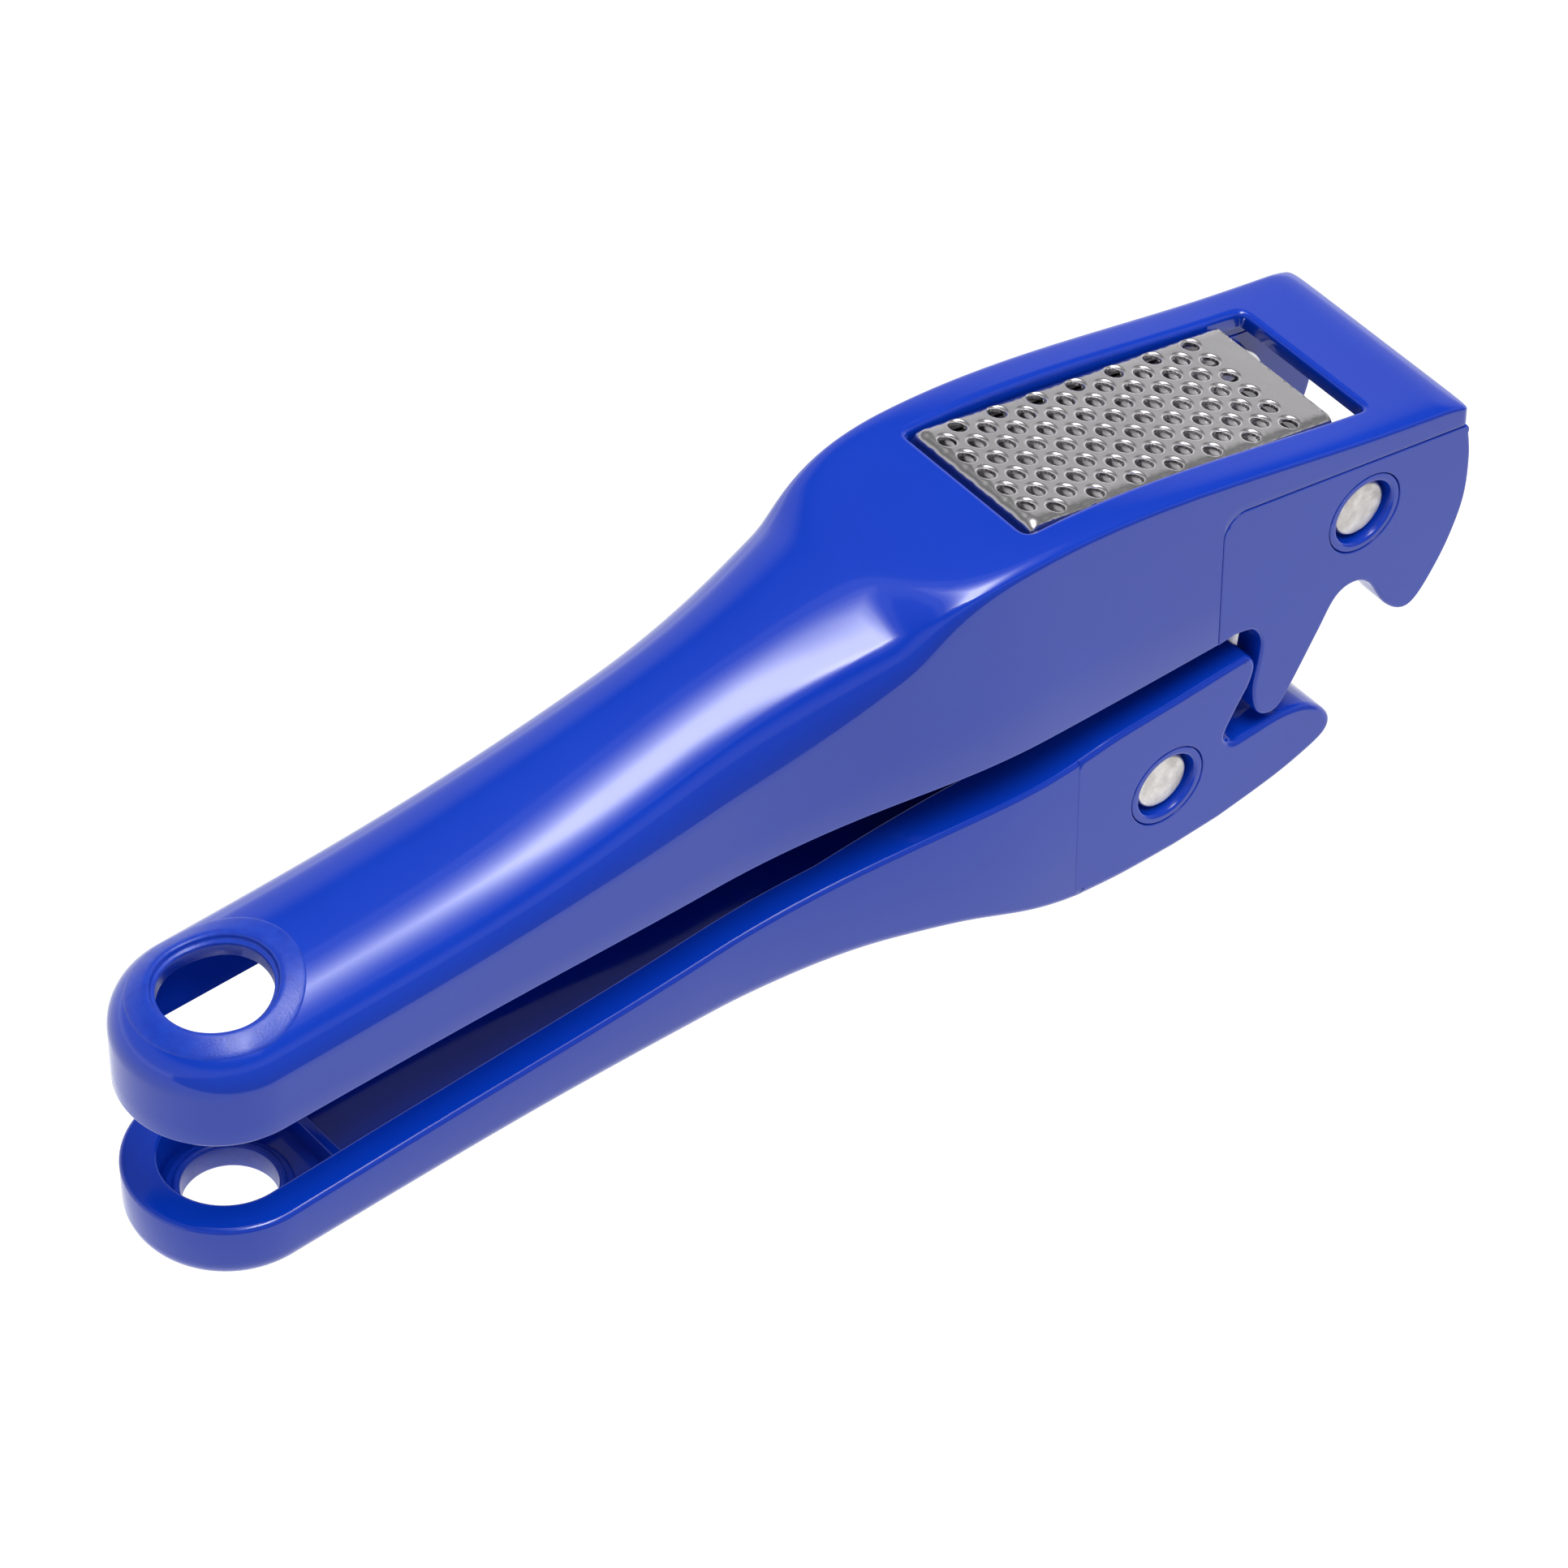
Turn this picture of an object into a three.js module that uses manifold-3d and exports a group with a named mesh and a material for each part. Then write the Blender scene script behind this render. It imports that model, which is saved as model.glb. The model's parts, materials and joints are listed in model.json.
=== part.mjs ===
/**
 * Garlic press with a geared lever action, lying closed on its lower handle.
 *
 * Two long hollow handles carry gear teeth at their heads. The teeth mesh, and a plunger arm
 * joins the two pivot pins, so squeezing the handles drives the plunger into a steel hopper
 * whose perforated sieve fills the window in the upper handle's head.
 *
 * The pieces are drawn in the press frame: origin on the axis of the upper pin, X toward the
 * head, Y across the press, Z up, millimetres. The finished group is then tilted to stand on
 * the lower handle's belly and tail, with its origin at the middle of the footprint.
 */
import * as THREE from 'three';
import { ParametricGeometry } from 'three/addons/geometries/ParametricGeometry.js';
import { mergeVertices } from 'three/addons/utils/BufferGeometryUtils.js';
import Module from 'manifold-3d';

const wasm = await Module();
wasm.setup();

// ---------------------------------------------------------------- driving dimensions

const GAP = 0.3;                              // clearance left between neighbouring pieces
const LOWER_PIVOT = { x: -31.8, z: -29.1 };   // lower pin axis, seen from the upper pin
const SIEVE_SLOPE = THREE.MathUtils.degToRad(11.4);   // sieve falls toward the front
const REST_TILT = THREE.MathUtils.degToRad(4.7);      // stands on belly and tail

const HEAD_HALF_WIDTH = 17.2;
const GRIP_HALF_WIDTH = 13.1;
const TAIL_X = -167;                          // centre of both round handle ends
const HEAD_START_X = -52;
const SHOULDER_START_X = -102;                // the grip widens from here to the head
const FRONT_X = 17.6;
const FRONT_ROLL = { length: 5, drop: 1.7 };  // the head's top rolls down to its front edge
const FRONT_CORNER_RADIUS = 1.2;
const REACH = 60;                             // cutting tools run this far past the press

// The crown is a superellipse: nearly a half ellipse on the grip, nearly flat on the head.
const CROWN_POWERS = [2.25, 9];
const CROWN_FLATTENS = { from: -74, to: -58 };

const SHELL_WALL = 2.2;
const TOP_WALL = 2.6;
const HEAD_CAVITY_HALF_WIDTH = 12.6;
const LOWER_CHANNEL_HALF_WIDTH = 8.5;
const LOWER_CORNER_RADII = { grip: 3.5, head: 1.5, tail: 5 };
const LOWER_CHEEK_INNER = 9.7;
// Seams where the toothed cheeks join the handle shells; the upper one bends forward to the front.
const CHEEK_SEAM_UPPER = { x: -24.3, bendZ: 9, bendRadius: 3.3, frontZ: 5.4 };
const CHEEK_SEAM_LOWER_X = -47;

const WINDOW = { left: -52.5, right: 4, halfWidth: 12, cornerRadius: 1 };
const HANG_HOLE_RADIUS = 7.3;
const HANG_RING_RADIUS = 10.9;
const LOWER_HANG_HOLE_RADIUS = 6;
const LOWER_HANG_RING_RADIUS = 8;
const RIB_X = -155;                           // cross rib in the lower handle

const PIN_RADIUS = 4;
const PIN_HALF_LENGTH = 15.2;                 // pin ends sit 2 mm below the cheek faces
const PIN_BORE_RADIUS = PIN_RADIUS + GAP;
const BUSH_RADIUS = 5.9;
const BUSH_RECESS_RADIUS = 4.7;
const BOSS_RADIUS = 6.6;                      // link plate ends, washers and sleeves on the pins

const SIEVE_HEIGHT = 12.35;                   // sieve face above the upper pin, square to it
const SIEVE = { left: -54.3, right: -3.7 };   // along the slope from the upper pin
const SHEET = 0.8;                            // steel sheet of the hopper
const HOPPER_HALF_WIDTH = 11.6;
const HOLE_PITCH = 3.8;
const HOLE_RADIUS = 1.1;
const HOLE_ROWS_START_X = -49.03;

const PLUNGER_HALF_WIDTH = 10.2;
const LINK_INNER = 7.2;
const LINK_OUTER = 9.2;
const STEM = { rear: -46, front: -15, low: -5 };      // plunger stem between the link plates
const EAR_RADIUS = 9;                         // hopper's ears round the upper pin

const ROUND = 24;                             // sides of a full turn on pins and bushes

// Side view lines of the handles, as [x, z] points from tail to head.
const UPPER_RIDGE = [
  [TAIL_X, 8.9], [-140, 9.8], [-124, 11.3], [-109, 13.9], [-95, 16.8], [-85, 18.8],
  [-76, 20.6], [-68, 21.9], [-60, 22.7], [HEAD_START_X, 22.8], [0, 13.0], [FRONT_X, 9.5],
];
const UPPER_CREASE = [
  [TAIL_X, 1.4], [-140, 2.0], [-122, 3.0], [-107, 4.1], [-92, 6.5], [-78, 11.3],
  [-65, 17.0], [-57, 19.6], [-50, 20.0], [0, 10.6], [FRONT_X, 7.2],
];
const UPPER_LOWER_EDGE = [
  [TAIL_X, -6.6], [-130, -6.7], [-105, -7.2], [-78, -7.4], [-64, -8.3], [-48, -8.9], [FRONT_X, -8.9],
];
const LOWER_RIM = [
  [TAIL_X, -21.3], [-137, -19.9], [-107, -18.5], [-78, -16.2], [-60, -16.0], [-50, -16.0],
  [-40, -15.0], [-24, -14.4],
];
const LOWER_BOTTOM = [
  [TAIL_X, -30.5], [-150, -30.0], [-130, -29.7], [-107, -30.2], [-93, -30.7], [-78, -31.6],
  [-71, -32.9], [-63, -35.0], [-56, -37.7], [-48, -40.3], [-39, -41.3], [-24, -40.9],
];

// Toothed edges, from the front of the upper head back to its seam, and along the lower head.
const UPPER_TEETH = [
  [18.2, -0.4], [17.8, -7.0], [15.8, -12.8], [13.0, -17.6], [10.2, -20.8], [7.7, -21.1],
  [4.8, -18.5], [2.0, -13.6], [-0.8, -11.6], [-3.9, -12.3], [-6.8, -16.8], [-10.6, -23.0],
  [-13.0, -26.2], [-15.4, -26.3], [-17.0, -24.4], [-17.6, -20.5], [-16.9, -16.0],
  [-16.7, -12.6], [-18.3, -9.8], [-21.5, -8.9],
];
const LOWER_TEETH = [
  [-20.6, -14.1], [-18.6, -14.3], [-17.4, -16.3], [-18.2, -19.4], [-20.6, -23.4], [-21.9, -26.2],
  [-20.6, -28.1], [-17.5, -28.1], [-12.5, -27.9], [-8.3, -28.9], [-5.2, -31.2], [-3.5, -34.0],
  [-4.6, -36.4], [-9.0, -38.2], [-14.3, -39.5], [-22.6, -40.8],
];

// ---------------------------------------------------------------- materials

const blueGloss = { color: 0x0a2fc4, roughness: 0.18, metalness: 0 };
const blueSatin = { color: 0x1a3cc0, roughness: 0.5, metalness: 0 };
const steel = { color: 0xc9c6c2, roughness: 0.3, metalness: 1 };
const pinSteel = { color: 0xd2cdc8, roughness: 0.5, metalness: 1 };
const nylon = { color: 0x20242c, roughness: 0.6, metalness: 0 };
const paleNylon = { color: 0xe4e4e0, roughness: 0.55, metalness: 0 };

// ---------------------------------------------------------------- solids and joins

/** Turns a closed geometry into a solid, with shared corners merged and faces turned outward. */
function toSolid(source) {
  const bare = source.clone();
  bare.deleteAttribute('normal');
  bare.deleteAttribute('uv');
  const merged = mergeVertices(bare, 1e-4);
  const points = merged.attributes.position;
  const corners = [...merged.index.array];
  const at = (index) => new THREE.Vector3().fromBufferAttribute(points, index);
  const triangles = [];
  let volume = 0;
  for (let start = 0; start < corners.length; start += 3) {
    const [a, b, c] = corners.slice(start, start + 3);
    if (a !== b && b !== c && c !== a) {
      triangles.push([a, b, c]);
      volume += at(a).dot(at(b).cross(at(c)));
    }
  }
  const outward = volume > 0 ? triangles : triangles.map(([a, b, c]) => [a, c, b]);
  return new wasm.Manifold(new wasm.Mesh({
    numProp: 3,
    vertProperties: new Float32Array(points.array),
    triVerts: new Uint32Array(outward.flat()),
  }));
}

/** Turns a solid back into a geometry that a mesh can hold. */
function toGeometry(solid) {
  const { vertProperties, triVerts } = solid.getMesh();
  const geometry = new THREE.BufferGeometry();
  geometry.setAttribute('position', new THREE.BufferAttribute(new Float32Array(vertProperties), 3));
  geometry.setIndex(new THREE.BufferAttribute(new Uint32Array(triVerts), 1));
  geometry.computeVertexNormals();
  return geometry;
}

const join = (first, ...rest) => rest.reduce((whole, part) => whole.add(part), first);
const cut = (first, ...tools) => tools.reduce((whole, tool) => whole.subtract(tool), first);

/** The y range of a piece between two distances from the middle plane; side is -1 or 1. */
const acrossSide = (side, inner, outer) => (side > 0 ? [inner, outer] : [-outer, -inner]);

/** A plate with a side-view outline (x, z), reaching across the press between two y values. */
function sidePlate(shape, yFrom, yTo, curveSegments = 3) {
  const geometry = new THREE.ExtrudeGeometry(shape, {
    depth: yTo - yFrom, bevelEnabled: false, curveSegments,
  });
  geometry.rotateX(Math.PI / 2);
  geometry.translate(0, yTo, 0);
  return toSolid(geometry);
}

/** A turned piece with its axis across the press; the profile holds [radius, y] points. */
function turnedAcross(profile, x = 0, z = 0, sides = ROUND) {
  const points = profile.map(([radius, y]) => new THREE.Vector2(radius, y));
  const geometry = new THREE.LatheGeometry([...points, points[0]], sides);
  geometry.translate(x, 0, z);
  return toSolid(geometry);
}

/** A turned piece with an upright axis; the profile holds [radius, z] points. */
function turnedUpright(profile, x, sides = ROUND) {
  const points = profile.map(([radius, z]) => new THREE.Vector2(radius, z));
  const geometry = new THREE.LatheGeometry([...points, points[0]], sides);
  geometry.rotateX(Math.PI / 2);
  geometry.translate(x, 0, 0);
  return toSolid(geometry);
}

const rodAcross = (radius, yFrom, yTo, x = 0, z = 0, sides = ROUND) =>
  turnedAcross([[0, yFrom], [radius, yFrom], [radius, yTo], [0, yTo]], x, z, sides);

const rodUpright = (radius, zFrom, zTo, x, sides = ROUND) =>
  turnedUpright([[0, zFrom], [radius, zFrom], [radius, zTo], [0, zTo]], x, sides);

const tubeAcross = (inner, outer, yFrom, yTo, x = 0, z = 0) =>
  turnedAcross([[inner, yFrom], [outer, yFrom], [outer, yTo], [inner, yTo]], x, z);

const asVectors = (points) => points.map(([x, z]) => new THREE.Vector2(x, z));

// ---------------------------------------------------------------- handle bodies

/** A smooth line through [x, z] points, read back as z at any x. */
function smoothLine(points) {
  const line = new THREE.CubicInterpolant(points.map(([x]) => x), points.map(([, z]) => z), 1);
  const [firstX] = points[0];
  const [lastX] = points.at(-1);
  return (x) => line.evaluate(THREE.MathUtils.clamp(x, firstX, lastX))[0];
}

const upperRidge = smoothLine(UPPER_RIDGE);
const upperCrease = smoothLine(UPPER_CREASE);
const upperLowerEdge = smoothLine(UPPER_LOWER_EDGE);
const lowerRim = smoothLine(LOWER_RIM);
const lowerBottom = smoothLine(LOWER_BOTTOM);

/** How far an elliptical round-over has fallen at x, over its length before an end. */
function roundOver(x, end, length, drop) {
  const share = THREE.MathUtils.clamp((x - (end - length)) / length, 0, 1);
  return drop * (1 - Math.sqrt(1 - share ** 2));
}

/** Half the width of a handle at x, drawn in by an inset: round at the tail, wider at the head. */
function halfWidth(x, inset = 0) {
  const tailRadius = GRIP_HALF_WIDTH - inset;
  if (x < TAIL_X) {
    return Math.sqrt(Math.max(0, tailRadius ** 2 - (TAIL_X - x) ** 2));
  }
  const widening = THREE.MathUtils.smoothstep(x, SHOULDER_START_X, HEAD_START_X);
  return tailRadius + (HEAD_HALF_WIDTH - GRIP_HALF_WIDTH) * widening;
}

/** Stations along a handle: close together round the tail and over the shoulder. */
function stations(inset, endX) {
  const coarseStep = 10;
  const radius = GRIP_HALF_WIDTH - inset;
  const tail = [0, 15, 30, 45, 60, 75, 90].map(
    (degrees) => TAIL_X - radius * Math.cos(THREE.MathUtils.degToRad(degrees)),
  );
  const rest = [];
  const nextStep = (x) => (x > SHOULDER_START_X && x < HEAD_START_X ? coarseStep / 2 : coarseStep);
  for (let x = TAIL_X + coarseStep; x < endX - coarseStep / 2; x += nextStep(x)) {
    rest.push(x);
  }
  return [...tail, ...rest, endX];
}

/**
 * A closed body along X. Each ring is a list of [y, z] points, as many at every station. The
 * first ring is the tail's upright line, where both sides meet, and the last one is capped.
 */
function bodyAlongX(xs, ringAt) {
  const rings = xs.map((x) => ringAt(x).map(([y, z]) => new THREE.Vector3(x, y, z)));
  const around = rings[0].length;
  const middle = new THREE.Vector3();
  rings.at(-1).forEach((point) => middle.addScaledVector(point, 1 / around));
  rings.push(rings[0].map(() => middle));
  const stacks = rings.length - 1;
  const surface = (u, v, target) =>
    target.copy(rings[Math.round(v * stacks)][Math.round(u * around) % around]);
  return toSolid(new ParametricGeometry(surface, around, stacks));
}

/** Section of the upper handle: upright side walls under a crown that flattens at the head. */
function crownRing(x, width, ridge, crease, floor) {
  const [roundPower, flatPower] = CROWN_POWERS;
  const flatness = THREE.MathUtils.smoothstep(x, CROWN_FLATTENS.from, CROWN_FLATTENS.to);
  const power = THREE.MathUtils.lerp(roundPower, flatPower, flatness);
  const tailShare = THREE.MathUtils.clamp((TAIL_X - x) / GRIP_HALF_WIDTH, 0, 1);
  const height = (ridge - crease) * (1 - tailShare ** power) ** (1 / power);
  const crownSteps = 14;
  const crown = [];
  for (let step = 0; step <= crownSteps; step += 1) {
    const angle = Math.PI * step / crownSteps;
    const across = Math.abs(Math.cos(angle)) ** (2 / power) * Math.sign(Math.cos(angle));
    const up = Math.abs(Math.sin(angle)) ** (2 / power);
    crown.push([width * across, crease + height * up]);
  }
  return [[-width, floor], [width, floor], ...crown];
}

/** Section of the lower handle: flat rim, upright walls and rounded lower corners. */
function troughRing(x, width, rim, bottom) {
  const { grip, head, tail } = LOWER_CORNER_RADII;
  const squareness = THREE.MathUtils.smoothstep(x, SHOULDER_START_X, HEAD_START_X);
  const round = THREE.MathUtils.lerp(grip, head, squareness);
  const tailStart = TAIL_X - GRIP_HALF_WIDTH + tail;
  const rise = tail - Math.sqrt(tail ** 2 - THREE.MathUtils.clamp(tailStart - x, 0, tail) ** 2);
  const radius = Math.min(width, round, rim - bottom - rise);
  const corner = (centreY, fromDegrees) => [0, 30, 60, 90].map((degrees) => {
    const angle = THREE.MathUtils.degToRad(fromDegrees + degrees);
    return [centreY + radius * Math.cos(angle), bottom + rise + radius * (1 + Math.sin(angle))];
  });
  return [[width, rim], [-width, rim], ...corner(radius - width, 180), ...corner(width - radius, 270)];
}

/** The upper handle as a full body, before it is hollowed. */
function upperBody() {
  const { length, drop } = FRONT_ROLL;
  const rollStations = [0, 0.5, 0.8, 0.93].map((share) => FRONT_X - length * (1 - share));
  const xs = stations(0, FRONT_X).filter((x) => x < rollStations[0] || x === FRONT_X);
  xs.splice(-1, 0, ...rollStations);
  return bodyAlongX(xs, (x) => {
    const width = halfWidth(x) - roundOver(x, FRONT_X, FRONT_CORNER_RADIUS, FRONT_CORNER_RADIUS);
    const ridge = upperRidge(x) - roundOver(x, FRONT_X, length, drop);
    return crownRing(x, width, ridge, Math.min(upperCrease(x), ridge - 1), upperLowerEdge(x));
  });
}

/** The upper handle's hollow: open below and at the front of the head. */
function upperHollow() {
  return bodyAlongX(stations(SHELL_WALL, FRONT_X + REACH), (x) => {
    const width = Math.min(halfWidth(x, SHELL_WALL), HEAD_CAVITY_HALF_WIDTH);
    return crownRing(x, width, upperRidge(x) - TOP_WALL, upperCrease(x) - TOP_WALL / 2, -REACH);
  });
}

/** Draws the seam of an upper cheek, up from its rear end and forward under the top edge. */
function drawCheekSeam(shape, inset, startZ) {
  const { x, bendZ, frontZ } = CHEEK_SEAM_UPPER;
  const topZ = bendZ + CHEEK_SEAM_UPPER.bendRadius;
  shape.moveTo(x + inset, startZ);
  shape.lineTo(x + inset, bendZ);
  shape.quadraticCurveTo(x + inset, topZ - inset, x + CHEEK_SEAM_UPPER.bendRadius, topZ - inset);
  shape.lineTo(FRONT_X, frontZ - inset);
}

/** Everything below the seam under the head's top edge, where the toothed cheeks are set in. */
function cheekPocket() {
  const shape = new THREE.Shape();
  drawCheekSeam(shape, 0, -REACH);
  shape.lineTo(FRONT_X + REACH, CHEEK_SEAM_UPPER.frontZ);
  shape.lineTo(FRONT_X + REACH, -REACH);
  return sidePlate(shape, -REACH, REACH, 6);
}

/** The window in the top of the head, as an upright block with rounded corners. */
function windowBlock() {
  const { left, right, halfWidth: half, cornerRadius: radius } = WINDOW;
  const shape = new THREE.Shape();
  shape.absarc(right - radius, half - radius, radius, 0, Math.PI / 2);
  shape.absarc(left + radius, half - radius, radius, Math.PI / 2, Math.PI);
  shape.absarc(left + radius, radius - half, radius, Math.PI, Math.PI * 1.5);
  shape.absarc(right - radius, radius - half, radius, Math.PI * 1.5, Math.PI * 2);
  return toSolid(new THREE.ExtrudeGeometry(shape, {
    depth: REACH, bevelEnabled: false, curveSegments: 3,
  }));
}

function upperHandleShell() {
  return cut(
    upperBody(),
    upperHollow(),
    cheekPocket(),
    windowBlock(),
    rodUpright(HANG_RING_RADIUS + GAP, -REACH, REACH, TAIL_X, 32),
  );
}

/** Satin ring round the upper hanging hole, following the crown of the handle. */
function upperHangRing() {
  const underside = 3;
  const sleeve = turnedUpright([
    [HANG_HOLE_RADIUS, underside], [HANG_RING_RADIUS, underside],
    [HANG_RING_RADIUS, REACH], [HANG_HOLE_RADIUS, REACH],
  ], TAIL_X, 32);
  return upperBody().intersect(sleeve);
}

/** One toothed cheek of the upper head, with the bore for its pin bush. */
function upperGearCheek(side) {
  const shape = new THREE.Shape();
  drawCheekSeam(shape, GAP, upperLowerEdge(CHEEK_SEAM_UPPER.x));
  shape.splineThru(asVectors(UPPER_TEETH));
  const [yFrom, yTo] = acrossSide(side, HEAD_CAVITY_HALF_WIDTH, HEAD_HALF_WIDTH);
  return cut(sidePlate(shape, yFrom, yTo), rodAcross(BUSH_RADIUS + GAP, -REACH, REACH));
}

/** The lower handle: a trough with a wide flat rim, a hanging hole and one cross rib. */
function lowerHandleShell() {
  const endX = CHEEK_SEAM_LOWER_X - GAP / 2;
  const body = bodyAlongX(stations(0, endX), (x) =>
    troughRing(x, halfWidth(x), lowerRim(x), lowerBottom(x)));
  const rimWidth = GRIP_HALF_WIDTH - LOWER_CHANNEL_HALF_WIDTH;
  const hollow = bodyAlongX(stations(rimWidth, endX + REACH), (x) => {
    const width = Math.min(halfWidth(x, rimWidth), LOWER_CHEEK_INNER);
    const floor = lowerBottom(x) + SHELL_WALL;
    return [[width, 0], [-width, 0], [-width, floor], [width, floor]];
  });
  const ribHeight = 5;
  const rib = new THREE.BoxGeometry(1.6, 2 * LOWER_CHANNEL_HALF_WIDTH + 1, ribHeight);
  rib.translate(RIB_X, 0, lowerBottom(RIB_X) + SHELL_WALL / 2 + ribHeight / 2);
  return cut(
    join(cut(body, hollow), toSolid(rib)),
    rodUpright(LOWER_HANG_RING_RADIUS + GAP, -REACH, 0, TAIL_X),
  );
}

/** Collar round the lower hanging hole, standing up inside the trough. */
function lowerHangRing() {
  const bottom = lowerBottom(TAIL_X);
  const top = bottom + 3.8;
  const chamfer = 0.6;
  return turnedUpright([
    [LOWER_HANG_HOLE_RADIUS, bottom], [LOWER_HANG_RING_RADIUS, bottom],
    [LOWER_HANG_RING_RADIUS, top - chamfer], [LOWER_HANG_RING_RADIUS - chamfer, top],
    [LOWER_HANG_HOLE_RADIUS + chamfer, top], [LOWER_HANG_HOLE_RADIUS, top - chamfer],
  ], TAIL_X);
}

/** The toothed head of the lower handle: two thick cheeks joined by a floor behind the teeth. */
function lowerGearFrame() {
  const seam = CHEEK_SEAM_LOWER_X + GAP / 2;
  const shape = new THREE.Shape();
  shape.moveTo(seam, lowerBottom(seam));
  shape.lineTo(seam, lowerRim(seam));
  shape.splineThru(asVectors([[-40, -15.0], [-30, -14.6], ...LOWER_TEETH]));
  shape.splineThru(asVectors([[-30, -41.3], [-39, -41.3], [seam, lowerBottom(seam)]]));
  const block = sidePlate(shape, -HEAD_HALF_WIDTH, HEAD_HALF_WIDTH);
  const floorTop = lowerBottom(seam) + SHELL_WALL;
  const floorFrontX = -15;
  const channel = new THREE.Shape(asVectors([
    [-REACH, 0], [-REACH, floorTop], [floorFrontX, floorTop],
    [floorFrontX, -REACH], [REACH, -REACH], [REACH, 0],
  ]));
  return cut(
    block,
    sidePlate(channel, -LOWER_CHEEK_INNER, LOWER_CHEEK_INNER),
    rodAcross(BUSH_RADIUS + GAP, -REACH, REACH, LOWER_PIVOT.x, LOWER_PIVOT.z),
  );
}

// ---------------------------------------------------------------- pins, bushes and washers

/** Plain steel pin with lightly chamfered ends. */
function pivotPin(x, z) {
  const chamfer = 0.4;
  const half = PIN_HALF_LENGTH;
  return turnedAcross([
    [0, -half], [PIN_RADIUS - chamfer, -half], [PIN_RADIUS, chamfer - half],
    [PIN_RADIUS, half - chamfer], [PIN_RADIUS - chamfer, half], [0, half],
  ], x, z);
}

/** Bush that holds one pin end, recessed so that the pin sits below the cheek's face. */
function pinBush(side, cheekInner, x, z) {
  const profile = [
    [PIN_BORE_RADIUS, cheekInner], [BUSH_RADIUS, cheekInner], [BUSH_RADIUS, HEAD_HALF_WIDTH],
    [BUSH_RECESS_RADIUS, HEAD_HALF_WIDTH], [BUSH_RECESS_RADIUS, PIN_HALF_LENGTH],
    [PIN_BORE_RADIUS, PIN_HALF_LENGTH],
  ];
  return turnedAcross(profile.map(([radius, y]) => [radius, side * y]), x, z);
}

/** Flat washer on the upper pin. */
function washer(side, inner, outer) {
  const [yFrom, yTo] = acrossSide(side, inner, outer);
  return tubeAcross(PIN_BORE_RADIUS, BOSS_RADIUS, yFrom, yTo);
}

// ---------------------------------------------------------------- hopper and plunger
// Drawn in the sieve frame: origin on the upper pin, X down the sieve's slope, Z square to it.

const hopperBackRadius = Math.hypot(SIEVE.left, SIEVE_HEIGHT);
const sieveUnderside = SIEVE_HEIGHT - SHEET;
const backArcX = (radius, z) => -Math.sqrt(radius ** 2 - z ** 2);
const { degToRad } = THREE.MathUtils;

/** The hopper's side view: sieve on top, swept back wall, and an ear round the upper pin. */
function hopperOutline() {
  const backFromAngle = Math.atan2(SIEVE_HEIGHT, SIEVE.left);
  const shape = new THREE.Shape();
  shape.moveTo(SIEVE.right, SIEVE_HEIGHT);
  shape.lineTo(SIEVE.left, SIEVE_HEIGHT);
  shape.absarc(0, 0, hopperBackRadius, backFromAngle, degToRad(182));
  shape.absarc(0, 0, EAR_RADIUS, degToRad(254), degToRad(425));
  return shape;
}

/** The space inside the hopper, open below and behind the front flange. */
function hopperInside() {
  const frontX = SIEVE.right - SHEET;
  const flangeLow = sieveUnderside - 4;
  const radius = hopperBackRadius - SHEET;
  const backX = backArcX(radius, sieveUnderside);
  const shape = new THREE.Shape();
  shape.moveTo(frontX, sieveUnderside);
  shape.lineTo(backX, sieveUnderside);
  shape.absarc(0, 0, radius, Math.atan2(sieveUnderside, backX), degToRad(190));
  shape.lineTo(REACH, -REACH);
  shape.lineTo(REACH, flangeLow);
  shape.lineTo(frontX, flangeLow);
  return shape;
}

/** Centres of the sieve's holes, in staggered rows down the slope. */
function sieveHoles() {
  const rowStep = HOLE_PITCH * Math.sqrt(3) / 2;
  const holes = [];
  for (let row = -1; row <= 12; row += 1) {
    const count = row % 2 === 0 ? 6 : 5;
    for (let index = 0; index < count; index += 1) {
      holes.push([HOLE_ROWS_START_X + row * rowStep, (index - (count - 1) / 2) * HOLE_PITCH]);
    }
  }
  return holes;
}

/** A short upright rod through the sheet at one hole. */
function holeThroughSieve(x, y) {
  const geometry = new THREE.CylinderGeometry(HOLE_RADIUS, HOLE_RADIUS, 4 * SHEET, 8);
  geometry.rotateX(Math.PI / 2);
  geometry.translate(x, y, SIEVE_HEIGHT);
  return toSolid(geometry);
}

/** Folded steel hopper with the perforated sieve as its top face. */
function sieveHopper() {
  const inner = HOPPER_HALF_WIDTH - SHEET;
  const betweenEars = new THREE.Shape(asVectors([
    [SIEVE.right, REACH], [REACH, REACH], [REACH, -REACH], [SIEVE.right, -REACH],
  ]));
  return cut(
    sidePlate(hopperOutline(), -HOPPER_HALF_WIDTH, HOPPER_HALF_WIDTH, 12),
    sidePlate(hopperInside(), -inner, inner, 12),
    sidePlate(betweenEars, -inner, inner),
    rodAcross(PIN_BORE_RADIUS, -REACH, REACH),
    ...sieveHoles().map(([x, y]) => holeThroughSieve(x, y)),
  );
}

const plungerBackRadius = hopperBackRadius - SHEET - 0.7;
const plungerFrontRadius = 15;
const faceTop = sieveUnderside - 0.9;
const faceThickness = 1;
const blockTop = faceTop - faceThickness - GAP;
const blockShoulder = 3.5;

/** A slice of the plunger between two heights, its ends on arcs about the upper pin. */
function plungerSlice(low, high, halfWidthAcross) {
  const shape = new THREE.Shape(asVectors([
    [backArcX(plungerBackRadius, high), high], [backArcX(plungerBackRadius, low), low],
    [backArcX(plungerFrontRadius, low), low], [backArcX(plungerFrontRadius, high), high],
  ]));
  return sidePlate(shape, -halfWidthAcross, halfWidthAcross);
}

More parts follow.
